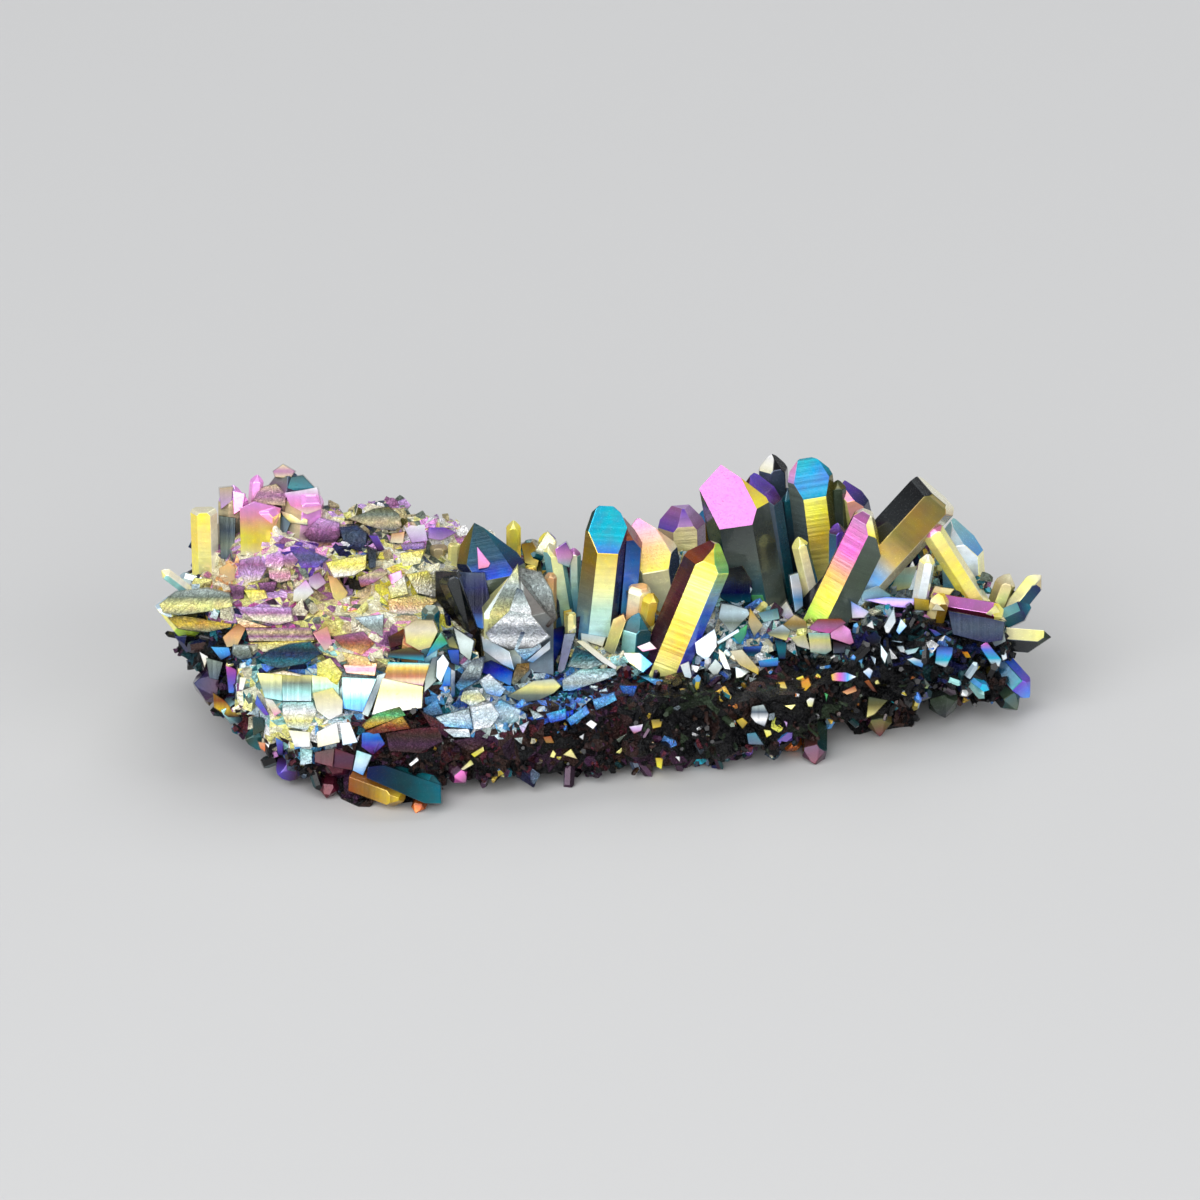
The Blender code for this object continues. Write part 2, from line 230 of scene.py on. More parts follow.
class Bench:
    """The workbench: a primitive is added, shaped in edit mode and finished with modifiers."""

    @staticmethod
    def take(thing: bpy.types.Object) -> None:
        """Make one object the only one selected.

        Args:
            thing: the object.
        """
        bpy.ops.object.select_all(action="DESELECT")
        thing.select_set(True)
        bpy.context.view_layer.objects.active = thing

    @staticmethod
    def added(name: str) -> bpy.types.Object:
        """Name the object that was added last and open it in edit mode.

        Args:
            name: what it is called.

        Returns:
            The object.
        """
        made = bpy.context.view_layer.objects.active
        made.name = name
        Bench.edit()
        return made

    @staticmethod
    def edit() -> None:
        """Open the object in edit mode with all of it selected."""
        bpy.ops.object.mode_set(mode="EDIT")
        bpy.ops.mesh.select_all(action="SELECT")

    @staticmethod
    def close() -> None:
        """Leave edit mode."""
        bpy.ops.object.mode_set(mode="OBJECT")

    @staticmethod
    def close_outward() -> None:
        """Turn all faces outward and leave edit mode."""
        bpy.ops.mesh.select_all(action="SELECT")
        bpy.ops.mesh.normals_make_consistent(inside=False)
        Bench.close()

    @staticmethod
    def break_off(point: Vector, normal: Vector) -> None:
        """Break off what lies past a plane and close the break with one flat face.

        Args:
            point: a point on the plane.
            normal: the direction in which all is broken off.
        """
        bpy.ops.mesh.select_all(action="SELECT")
        bpy.ops.mesh.bisect(plane_co=point, plane_no=normal, use_fill=True, clear_outer=True)

    @staticmethod
    def score(point: Vector, normal: Vector) -> None:
        """Divide the faces along a plane, so that a wash can turn there."""
        bpy.ops.mesh.select_all(action="SELECT")
        bpy.ops.mesh.bisect(plane_co=point, plane_no=normal)

    @staticmethod
    def wear_down(edge: float) -> None:
        """Wear every edge down by so many millimetres."""
        bpy.ops.mesh.select_all(action="SELECT")
        bpy.ops.mesh.bevel(offset=edge, segments=1, affect="EDGES", clamp_overlap=True)

    @staticmethod
    def finish(thing: bpy.types.Object, kind: str, **settings: object) -> None:
        """Add a modifier to the object and apply it.

        Args:
            thing: the object.
            kind: the modifier's type.
            settings: the modifier's own values.
        """
        Bench.take(thing)
        modifier = thing.modifiers.new(kind.lower(), kind)
        for name, value in settings.items():
            setattr(modifier, name, value)
        bpy.ops.object.modifier_apply(modifier=modifier.name)

    @staticmethod
    def join(name: str, things: list[bpy.types.Object], film: bpy.types.Material) -> bpy.types.Object:
        """Join objects into one.

        Args:
            name: the piece's name.
            things: the objects, which all have the same attributes.
            film: the finish of the piece.

        Returns:
            The joined piece.
        """
        Bench.take(things[0])
        for thing in things:
            thing.select_set(True)
        bpy.ops.object.join()
        joined = bpy.context.view_layer.objects.active
        joined.name = name
        joined.data.name = name
        joined.data.materials.append(film)
        return joined

    @staticmethod
    def settle(mesh: bpy.types.Mesh) -> None:
        """Bring a mesh from millimetres to metres, with nothing below the floor.

        Args:
            mesh: the mesh.
        """
        mesh.transform(Matrix.Scale(MM, 4))
        for vertex in mesh.vertices:
            vertex.co.z = max(vertex.co.z, 0.0)
        mesh.update()

    @staticmethod
    def read_points(mesh: bpy.types.Mesh) -> np.ndarray:
        """Read where a mesh's vertices are.

        Args:
            mesh: the mesh.

        Returns:
            One row for each vertex.
        """
        points = np.empty(len(mesh.vertices) * 3)
        mesh.vertices.foreach_get("co", points)
        return points.reshape(-1, 3)

    @staticmethod
    def put_film_and_light(mesh: bpy.types.Mesh, colours: np.ndarray) -> None:
        """Write the colours on a mesh: the film's own, with painted reflections, painted highlights and
        painted shade.

        Args:
            mesh: the mesh.
            colours: one colour for each corner of its faces.
        """
        film = mesh.attributes.new(FILM, "FLOAT_COLOR", "CORNER")
        opaque = np.column_stack([np.clip(colours, 0, 1), np.ones(len(colours))])
        film.data.foreach_set("color", opaque.astype(np.float32).ravel())

    @staticmethod
    def put_lines(mesh: bpy.types.Mesh, along: np.ndarray, depth: float) -> None:
        """Write on a mesh how its growth lines run.

        Args:
            mesh: the mesh.
            along: where each vertex lies across the lines, in mm.
            depth: how deep the lines are.
        """
        for name, values in ((ALONG, along), (GRAIN, np.full(len(along), depth))):
            attribute = mesh.attributes.new(name, "FLOAT", "POINT")
            attribute.data.foreach_set("value", values.astype(np.float32))


@dataclass(frozen=True)
class Noise:
    """A noise: its cells to the millimetre, how many finer layers it has, and how strong these are."""

    scale: float
    detail: float = 2.0
    roughness: float = 0.5


class Signal:
    """An output socket on which shader maths is written as Python."""

    def __init__(self, board: "Board", socket: bpy.types.NodeSocket) -> None:
        """Wrap one output socket of the board's tree."""
        self.board = board
        self.socket = socket

    def __add__(self, other: "Signal | float") -> "Signal":
        """The sum."""
        return self.board.maths("ADD", self, other)

    def __radd__(self, other: float) -> "Signal":
        """The sum, with the number first."""
        return self.board.maths("ADD", other, self)

    def __sub__(self, other: "Signal | float") -> "Signal":
        """The difference."""
        return self.board.maths("SUBTRACT", self, other)

    def __mul__(self, other: "Signal | float") -> "Signal":
        """The product."""
        return self.board.maths("MULTIPLY", self, other)

    def about_middle(self, reach: float) -> "Signal":
        """The signal shifted from around a half to around zero and stretched to that reach."""
        return (self - 0.5) * reach


class Board:
    """A material's node tree, filled through one method."""

    def __init__(self, name: str) -> None:
        """Start an empty material.

        Args:
            name: what it is called.
        """
        self.material = bpy.data.materials.new(name)
        self.material.use_nodes = True
        self.tree = self.material.node_tree
        self.tree.nodes.clear()

    def node(
        self, kind: str, settings: dict | None = None, inputs: dict | None = None, output: int | str = 0
    ) -> Signal:
        """Add a node.

        Args:
            kind: the node's type, without its ShaderNode.
            settings: its own properties, and the stops of a ramp, which are set first.
            inputs: values or signals for its sockets, by name or place.
            output: the socket that is handed back.

        Returns:
            The output as a signal.
        """
        made = self.tree.nodes.new("ShaderNode" + kind)
        for name, value in (settings or {}).items():
            if name == "stops":
                self.set_stops(made.color_ramp, value)
            else:
                setattr(made, name, value)
        for name, value in (inputs or {}).items():
            if isinstance(value, Signal):
                self.tree.links.new(value.socket, made.inputs[name])
            else:
                made.inputs[name].default_value = value
        return Signal(self, made.outputs[output])

    @staticmethod
    def set_stops(ramp: bpy.types.ColorRamp, stops: tuple[Pair, ...]) -> None:
        """Give a ramp its grey stops.

        Args:
            ramp: the ramp, which has two stops.
            stops: as many, each as (place, brightness).
        """
        for element, (place, grey) in zip(ramp.elements, stops, strict=True):
            element.position = place
            element.color = (grey, grey, grey, 1)

    def maths(self, operation: str, first: "Signal | float", second: "Signal | float") -> Signal:
        """One Math node."""
        return self.node("Math", {"operation": operation}, {0: first, 1: second})

    def vectors(self, operation: str, inputs: dict) -> Signal:
        """One Vector Math node."""
        return self.node("VectorMath", {"operation": operation}, inputs)

    def noise(self, where: Signal, noise: Noise, output: int | str = 0) -> Signal:
        """Noise through space."""
        inputs = {"Vector": where, "Scale": noise.scale, "Detail": noise.detail, "Roughness": noise.roughness}
        return self.node("TexNoise", {}, inputs, output)

    def attribute(self, name: str, output: str = "Fac") -> Signal:
        """What the mesh holds under that name."""
        return self.node("Attribute", {"attribute_name": name}, {}, output)

    def millimetres(self) -> Signal:
        """The piece's own coordinates, in millimetres."""
        return self.vectors("SCALE", {0: self.node("TexCoord", {}, {}, "Object"), "Scale": 1 / MM})

    def close(self, shader: Signal) -> bpy.types.Material:
        """Link the shader to the material's output.

        Args:
            shader: the finished shader.

        Returns:
            The material.
        """
        output = self.tree.nodes.new("ShaderNodeOutputMaterial")
        self.tree.links.new(shader.socket, output.inputs["Surface"])
        return self.material


@dataclass(frozen=True)
class CrystalFilm:
    """The metal film on smooth crystal faces: mirror-like, with drifting hues, growth lines and pits."""

    name: str = "crystal_film"
    metallic: float = 0.4
    roughness: float = 0.19
    roughness_drift: float = 0.22
    pit_roughness: float = 0.15
    coat: float = 0.35
    coat_roughness: float = 0.05
    drift: Noise = Noise(0.28, 3.0)
    cloud: Noise = Noise(0.9, 4.0, 0.6)
    pits: Noise = Noise(5.5, 3.0, 0.6)
    pit_edge: Pair = (0.58, 0.66)  # how strong the noise is where a pit begins, and where it is deepest
    line_scale: float = 1.7
    line_detail: float = 5.0
    hue_drift: float = 0.10
    saturation: float = 1.02
    saturation_drift: float = 0.3
    shade: float = 1.08
    shade_drift: float = 0.5
    pit_shade: float = 0.35
    line_shade: float = 0.6
    pit_height: float = -0.12
    cloud_height: float = 0.25
    bump_strength: float = 0.5
    bump_depth: float = 0.00012  # in metres

    def material(self) -> bpy.types.Material:
        """Mix the film.

        Returns:
            The film as a material.
        """
        board = Board(self.name)
        where = board.millimetres()
        along, grain = board.attribute(ALONG), board.attribute(GRAIN)
        drift, cloud = board.noise(where, self.drift), board.noise(where, self.cloud)
        edge, full = self.pit_edge
        stops = ((edge, 0.0), (full, 1.0))
        pits = board.node("ValToRGB", {"stops": stops}, {0: board.noise(where, self.pits)})
        run = {"W": along * self.line_scale, "Scale": 1.0, "Detail": self.line_detail}
        lines = board.node("TexNoise", {"noise_dimensions": "1D"}, run)
        bright = self.shade + cloud.about_middle(self.shade_drift) - pits * self.pit_shade
        tinted = board.node(
            "HueSaturation",
            {},
            {
                "Hue": 0.5 + drift.about_middle(self.hue_drift),
                "Saturation": self.saturation + cloud.about_middle(self.saturation_drift),
                "Value": bright + (lines - 0.5) * grain * self.line_shade,
                "Color": board.attribute(FILM, "Color"),
            },
        )
        height = lines * grain + pits * self.pit_height + cloud * self.cloud_height
        bump = board.node(
            "Bump", {}, {"Strength": self.bump_strength, "Distance": self.bump_depth, "Height": height}
        )
        rough = self.roughness + cloud.about_middle(self.roughness_drift) + pits * self.pit_roughness
        shader = board.node(
            "BsdfPrincipled",
            {},
            {
                "Base Color": tinted,
                "Metallic": self.metallic,
                "Roughness": rough,
                "Coat Weight": self.coat,
                "Coat Roughness": self.coat_roughness,
                "Normal": bump,
            },
        )
        return board.close(shader)


@dataclass(frozen=True)
class CrustFilm:
    """The same film on broken quartz: each small break throws light its own way."""

    name: str = "crust_film"
    metallic: float = 0.36
    roughness: float = 0.28
    roughness_drift: float = 0.3
    specular: float = 0.35
    coat: float = 0.06
    coat_roughness: float = 0.08
    tilt: float = 0.4  # how far the breaks lean from the surface
    break_size: float = 1.2  # in mm
    glint_scale: float = 2.6  # glints to the millimetre
    glint_share: float = 0.4
    swirl: Noise = Noise(0.8, 3.0)
    drift: Noise = Noise(0.5, 4.0, 0.6)
    cloud: Noise = Noise(2.4, 5.0, 0.65)
    folds: Noise = Noise(1.2, 4.0, 0.55)
    fold_sharpness: float = 5.0
    fold_depth: float = 2.2
    # painted shade in the creases of the folds and painted highlights on their ridges, which turn over at
    # fold_middle
    crease_painted_shade: float = 0.75
    fold_middle: float = 0.35
    hue_drift: float = 0.14
    saturation: float = 0.98
    saturation_drift: float = 0.5
    shade: float = 1.06
    shade_drift: float = 0.5
    sparkle_shade: float = 0.34
    bump_strength: float = 0.8
    bump_depth: float = 0.00022  # in metres

    def material(self) -> bpy.types.Material:
        """Mix the film.

        Returns:
            The film as a material.
        """
        board = Board(self.name)
        where = board.millimetres()
        bent = board.vectors("ADD", {0: where, 1: board.noise(where, self.swirl, "Color")})
        facing = board.node("TexVoronoi", {}, {"Vector": bent, "Scale": 1 / self.break_size}, "Color")
        fine = board.node("TexVoronoi", {}, {"Vector": where, "Scale": self.glint_scale}, "Color")
        drift, cloud = board.noise(where, self.drift), board.noise(where, self.cloud)
        creases = board.maths("ABSOLUTE", board.noise(bent, self.folds) - 0.5, 0.0)
        folds = creases * self.fold_sharpness
        both = board.node("Mix", {"data_type": "RGBA"}, {"Factor": self.glint_share, 6: facing, 7: fine}, 2)
        centred = board.vectors("SUBTRACT", {0: both, 1: (0.5, 0.5, 0.5)})
        leaning = board.vectors("SCALE", {0: centred, "Scale": self.tilt})
        outwards = board.node("NewGeometry", {}, {}, "Normal")
        faceted = board.vectors("NORMALIZE", {0: board.vectors("ADD", {0: outwards, 1: leaning})})
        bump = board.node(
            "Bump",
            {},
            {
                "Strength": self.bump_strength,
                "Distance": self.bump_depth,
                "Height": cloud + folds * self.fold_depth,
                "Normal": faceted,
            },
        )
        sparkle = board.node("SeparateXYZ", {}, {0: fine}, "X") * self.sparkle_shade
        bright = self.shade + sparkle + cloud.about_middle(self.shade_drift)
        tinted = board.node(
            "HueSaturation",
            {},
            {
                "Hue": 0.5 + drift.about_middle(self.hue_drift),
                "Saturation": self.saturation + cloud.about_middle(self.saturation_drift),
                # painted shade in the creases of the folds, painted highlights on their ridges
                "Value": bright + (folds - self.fold_middle) * self.crease_painted_shade,
                "Color": board.attribute(FILM, "Color"),
            },
        )
        shader = board.node(
            "BsdfPrincipled",
            {},
            {
                "Base Color": tinted,
                "Metallic": self.metallic,
                "Roughness": self.roughness + cloud.about_middle(self.roughness_drift),
                "Specular IOR Level": self.specular,
                "Coat Weight": self.coat,
                "Coat Roughness": self.coat_roughness,
                "Normal": bump,
            },
        )
        return board.close(shader)


@dataclass(frozen=True)
class FloorPaint:
    """The pale matt floor of the studio."""

    name: str = "pale_floor"
    grey: float = 0.56
    grey_drift: float = 0.02
    drift: Noise = Noise(3.0)  # here by the metre
    roughness: float = 0.7

    def material(self) -> bpy.types.Material:
        """Mix the paint.

        Returns:
            The paint as a material.
        """
        board = Board(self.name)
        tone = board.noise(board.node("TexCoord", {}, {}, "Object"), self.drift)
        light = self.grey + self.grey_drift
        greys = {"Factor": tone, 6: (self.grey, self.grey, self.grey, 1), 7: (light, light, light, 1)}
        paint = board.node("Mix", {"data_type": "RGBA"}, greys, 2)
        shader = board.node("BsdfPrincipled", {}, {"Base Color": paint, "Roughness": self.roughness})
        return board.close(shader)


def stand_prism(name: str, radius: float, length: float, buried: float = 0.0) -> bpy.types.Object:
    """Add a six-sided prism that stands on the origin along Z, and open it for shaping.

    Args:
        name: what the object is called.
        radius: from its axis to its edges.
        length: from its foot to its tip.
        buried: how far its foot is below the origin.

    Returns:
        The prism, in edit mode.
    """
    bpy.ops.mesh.primitive_cylinder_add(vertices=FACES, radius=radius, depth=length)
    made = Bench.added(name)
    bpy.ops.transform.translate(value=(0, 0, length / 2 - buried))
    bpy.ops.transform.rotate(value=math.pi / FACES, orient_axis="Z", center_override=(0, 0, 0))
    return made


def end_normal(face: int, out: float, up: float) -> Vector:
    """The way an end face looks: so far out from the axis and up along it, the front face first."""
    azimuth = math.radians(-90 + face * 360 / FACES)
    return Vector((out * math.cos(azimuth), out * math.sin(azimuth), up))


@dataclass
class CrystalStand:
    """A stand of crystals that grew together: each is modelled, coloured and joined to the others."""

    name: str
    crystals: tuple[Crystal, ...]
    edge_wear: float = 0.07
    wear_share: float = 0.03  # the most that an edge is worn, as a share of the width
    end_rise: float = math.radians(38.2)
    end_luck: float = 0.1  # the most that an end face is lowered by chance, in radii
    blunt_share: float = 0.9
    line_step: float = 3.0  # between the places where a wash can turn
    cap_rise: float = 0.42  # a face that looks further along the axis than this is an end face
    side_turn: float = 0.45  # a face that is turned further than this is a left or a right one
    wash_share: float = 0.72  # share of a side's length that its wash takes up
    shade_luck: Pair = (0.93, 1.07)
    worn_area: float = 0.3  # a face below this share of the usual area is a worn edge
    # painted highlight: a worn edge's colour is made brighter by this much
    edge_highlight: float = 1.25

    def model(self, rng: random.Random, film: bpy.types.Material) -> bpy.types.Object:
        """Model and dress the stand.

        Args:
            rng: the run of chance that the solid's own crystals were grown with.
            film: the finish of its faces.

        Returns:
            The stand as one piece.
        """
        grown = [
            self.grow(f"{self.name}_{number}", crystal, rng) for number, crystal in enumerate(self.crystals)
        ]
        return Bench.join(self.name, grown, film)

    def grow(self, name: str, crystal: Crystal, rng: random.Random) -> bpy.types.Object:
        """Model one crystal at its place.

        Args:
            name: what the object is called.
            crystal: its form and colours.
            rng: the run of chance that its end faces are lowered by.

        Returns:
            The crystal, in metres in the row frame.
        """
        length = (DRAWING.place(crystal.tip) - DRAWING.place(crystal.foot)).length
        radius = crystal.width / 2
        made = stand_prism(name, radius, length)
        for face, down in enumerate(crystal.end.value):
            normal = end_normal(face, math.cos(self.end_rise), math.sin(self.end_rise))
            lowered = max(crystal.end.value) / 2 - down - rng.uniform(0.0, self.end_luck)
            Bench.break_off(Vector((0, 0, length + lowered * radius)), normal)
        if crystal.blunt:
            point_height = radius * math.cos(math.pi / FACES) / math.tan(self.end_rise)
            blunted = crystal.blunt * self.blunt_share * point_height
            Bench.break_off(Vector((0, 0, length - blunted)), Vector((0, 0, 1)))
        Bench.wear_down(min(self.edge_wear, crystal.width * self.wear_share))
        for level in range(1, int(length / self.line_step)):
            Bench.score(Vector((0, 0, level * self.line_step)), Vector((0, 0, 1)))
        Bench.close_outward()
        self.dress(made, crystal)
        return made

    def dress(self, made: bpy.types.Object, crystal: Crystal) -> None:
        """Colour a crystal's faces and put its mesh in place.

        Args:
            made: the crystal, in millimetres with its foot at the origin.
            crystal: its place and washes.
        """
        mesh = made.data
        place = placing(crystal)
        along = np.array([vertex.co.z for vertex in mesh.vertices])
        mesh.transform(place)
        mesh.update()
        axis = (place.to_3x3() @ Vector((0, 0, 1))).normalized()
        kinds = [self.which_face(polygon.normal, axis) for polygon in mesh.polygons]
        spans = {}
        for polygon, kind in zip(mesh.polygons, kinds):
            heights = along[list(polygon.vertices)]
            low, high = spans.get(kind, (math.inf, -math.inf))
            spans[kind] = (min(low, heights.min()), max(high, heights.max()))
        looks = random.Random(made.name)
        shades = {kind: looks.uniform(*self.shade_luck) for kind in sorted(set(kinds))}
        caps, sides = washes(crystal.caps), washes(crystal.sides)
        worn = np.median([polygon.area for polygon in mesh.polygons]) * self.worn_area
        colours = np.zeros((len(mesh.loops), 3))
        for polygon, kind in zip(mesh.polygons, kinds):
            is_cap, side = kind
            wash = (caps if is_cap else sides)[side]
            low, high = spans[kind]
            low = low if is_cap else high - self.wash_share * (high - low)
            # worn edges are painted brighter, as a painted highlight
            shade = shades[kind] * (self.edge_highlight if polygon.area < worn else 1.0)
            for loop in polygon.loop_indices:
                share = np.clip((high - along[mesh.loops[loop].vertex_index]) / max(high - low, 1e-6), 0, 1)
                colours[loop] = blend(wash, share) * shade
        Bench.put_film_and_light(mesh, colours)
        Bench.put_lines(mesh, along + looks.uniform(0, LINE_RUN), crystal.lines)
        Bench.settle(mesh)

    def which_face(self, normal: Vector, axis: Vector) -> tuple[bool, int]:
        """Tell which face of a crystal looks one way.

        Args:
            normal: the way that the face looks.
            axis: the crystal's axis.

        Returns:
            Whether it is an end face, and 0, 1 or 2 for the left, the front or the right.
        """
        rise = normal.dot(axis)
        outward = (normal - rise * axis).length or 1.0
        flat = Vector((axis.dot(DRAWING.right), axis.dot(DRAWING.up))).normalized()
        turned = (normal.dot(DRAWING.right) * flat.y - normal.dot(DRAWING.up) * flat.x) / outward
        side = 0 if turned < -self.side_turn else 2 if turned > self.side_turn else 1
        return rise > self.cap_rise, side


def blend(wash: list[np.ndarray], share: float) -> np.ndarray:
    """Mix a wash's colours at one place.

    Args:
        wash: its colours, from the top down.
        share: how far down it the place is.

    Returns:
        The colour there.
    """
    if len(wash) == 1:
        return wash[0]
    place = share * (len(wash) - 1)
    step = min(int(place), len(wash) - 2)
    return wash[step] + (wash[step + 1] - wash[step]) * (place - step)


def placing(crystal: Crystal) -> Matrix:
    """Find the way from a crystal's own axes, with its foot at the origin, to its place.

    Args:
        crystal: the crystal.

    Returns:
        The transform, in millimetres.
    """
    foot = DRAWING.place(crystal.foot)
    along = (DRAWING.place(crystal.tip) - foot).normalized()
    right = Vector((1, 0, 0))
    right = (right - right.dot(along) * along).normalized()
    axes = Matrix((right, along.cross(right), along)).transposed().to_4x4()
    squash = Matrix.Diagonal((1, crystal.deep, 1, 1))
    turned = Matrix.Rotation(math.radians(crystal.turn), 4, "Z")
    return Matrix.Translation(foot) @ axes @ squash @ turned


# each face's wash is the film's hue with painted reflection: dark washes are partly painted shade, bright
# ones partly painted highlights
LEFT_SIDE = CrystalStand(
    "left_side_crystals",
    (
        Crystal((-49.5, 21, 28), (-49.9, 38.0, 30), 3.4, "cream",
                "yellow>yellow>straw | yellow>straw>cream | cream>white", blunt=1.0),
        Crystal((-46.4, 24, 31), (-46.2, 39.9, 35), 3.9, "lilac | lilac | orchid",
                "beige>slate | beige>slate>slate | orchid>sage>slate", turn=12, lines=0.9),
        Crystal((-43.0, 25, 32), (-42.6, 38.8, 34), 4.9, "orchid",
                "orchid>peach>yellow | pink>peach>yellow | peach>straw>teal", turn=8, blunt=0.9),
        Crystal((-44.6, 27, 35), (-43.2, 41.0, 37), 1.8, "orchid", "orchid>straw"),
        Crystal((-39.0, 30, 38), (-39.8, 42.2, 39), 5.9, "sage>mauve | slate>plum | pine>azure",
                "sage>mauve | beige>mauve>cream | pine>teal", blunt=0.45, turn=20),
        Crystal((-38.0, 30, 35), (-36.9, 40.6, 37), 5.3, "orchid",
                "beige>cream | orchid>orchid>cream | orchid>pink>cream", turn=25, blunt=0.8),
        Crystal((-49.0, 24, 24), (-55.2, 28.8, 23), 1.6, "straw | yellow>cream | cream",
                "aqua | cream>white | cream>white"),
        Crystal((-44.0, 21.2, 23), (-56.1, 23.2, 19), 5.2, "straw | ice>sage | ice",
                "lime>olive | straw>olive>sage | olive>sky>aqua", turn=15, end=End.LEFT, lines=0.7),
        Crystal((-44.0, 19, 23), (-53.8, 20.2, 19), 3.8, "navy", "black | black>slate | olive>moss",
                end=End.LEFT),
        Crystal((-43.0, 14, 20), (-51.2, 14.6, 13), 4.6, "navy>plum",
                "plum>violet | black>plum>black | violet>navy", turn=20),
        Crystal((-40.0, 12, 16), (-47.6, 11.0, 9), 4.0, "aqua>slate",
                "plum>violet | sage>slate | violet>plum", turn=10),
        Crystal((-38.0, 9, 12), (-44.6, 7.4, 6), 3.5, "moss>teal", "teal>pine | moss>plum | sage>moss"),
        Crystal((-36.0, 6, 8), (-40.5, 3.0, 2.5), 3.6, "violet>plum", "plum | pine>navy | slate>teal",
                turn=14),
    ),
)
LEFT_FRONT = CrystalStand(
    "left_front_crystals",
    (
        Crystal((-24.0, 8, 15), (-22.0, 22.4, 9), 5.2, "rust | beige>cream | aqua>green",
                "peach>rust>straw | mauve>rust>straw | aqua>blue", turn=22, blunt=0.85),
        Crystal((-21.0, 11, 18), (-21.3, 24.8, 15), 2.3, "sage", "teal | sage>teal | teal>slate", blunt=0.8),
        Crystal((-20.2, 7, 14), (-20.0, 18.9, 10), 4.4, "grey",
                "grey>silver>ice | ice>white | white>azure>sky", turn=30, blunt=0.5),
        Crystal((-31.0, 8, 10), (-30.2, 15.6, 6), 4.4, "ice", "ice>sky | aqua>ice>white | sky>azure", turn=5,
                blunt=0.9, lines=0.9),
        Crystal((-31.5, 6, 9), (-33.6, 4.7, -0.5), 4.6, "maroon>plum | brown>maroon | plum",
                "maroon | brown>maroon | ice>slate", turn=10, blunt=0.9),
        Crystal((-30.5, 2.7, 1), (-23.6, 0.2, -3.4), 4.0, "gold>ochre",
                "ochre>rust | gold>ochre>rust | gold>ochre>rust", turn=24, blunt=0.6, lines=1.0),
        Crystal((-29.5, 3.9, 3), (-19.2, 1.0, -1.4), 3.6, "teal>pine", "teal>pine | pine>teal | pine",
                turn=15, blunt=0.5),
        Crystal((-21.6, 1.8, 1), (-23.0, -1.7, -4), 1.9, "orange>rust", "rust>orange>rust"),
        Crystal((-19.0, 4.5, 3), (-16.6, 2.0, 0), 2.5, "plum>magenta", "plum>brown", turn=20),
        Crystal((-33.5, 3.5, 4), (-34.2, 0.2, -0.5), 2.4, "maroon", "maroon>black", blunt=0.4),
    ),
)
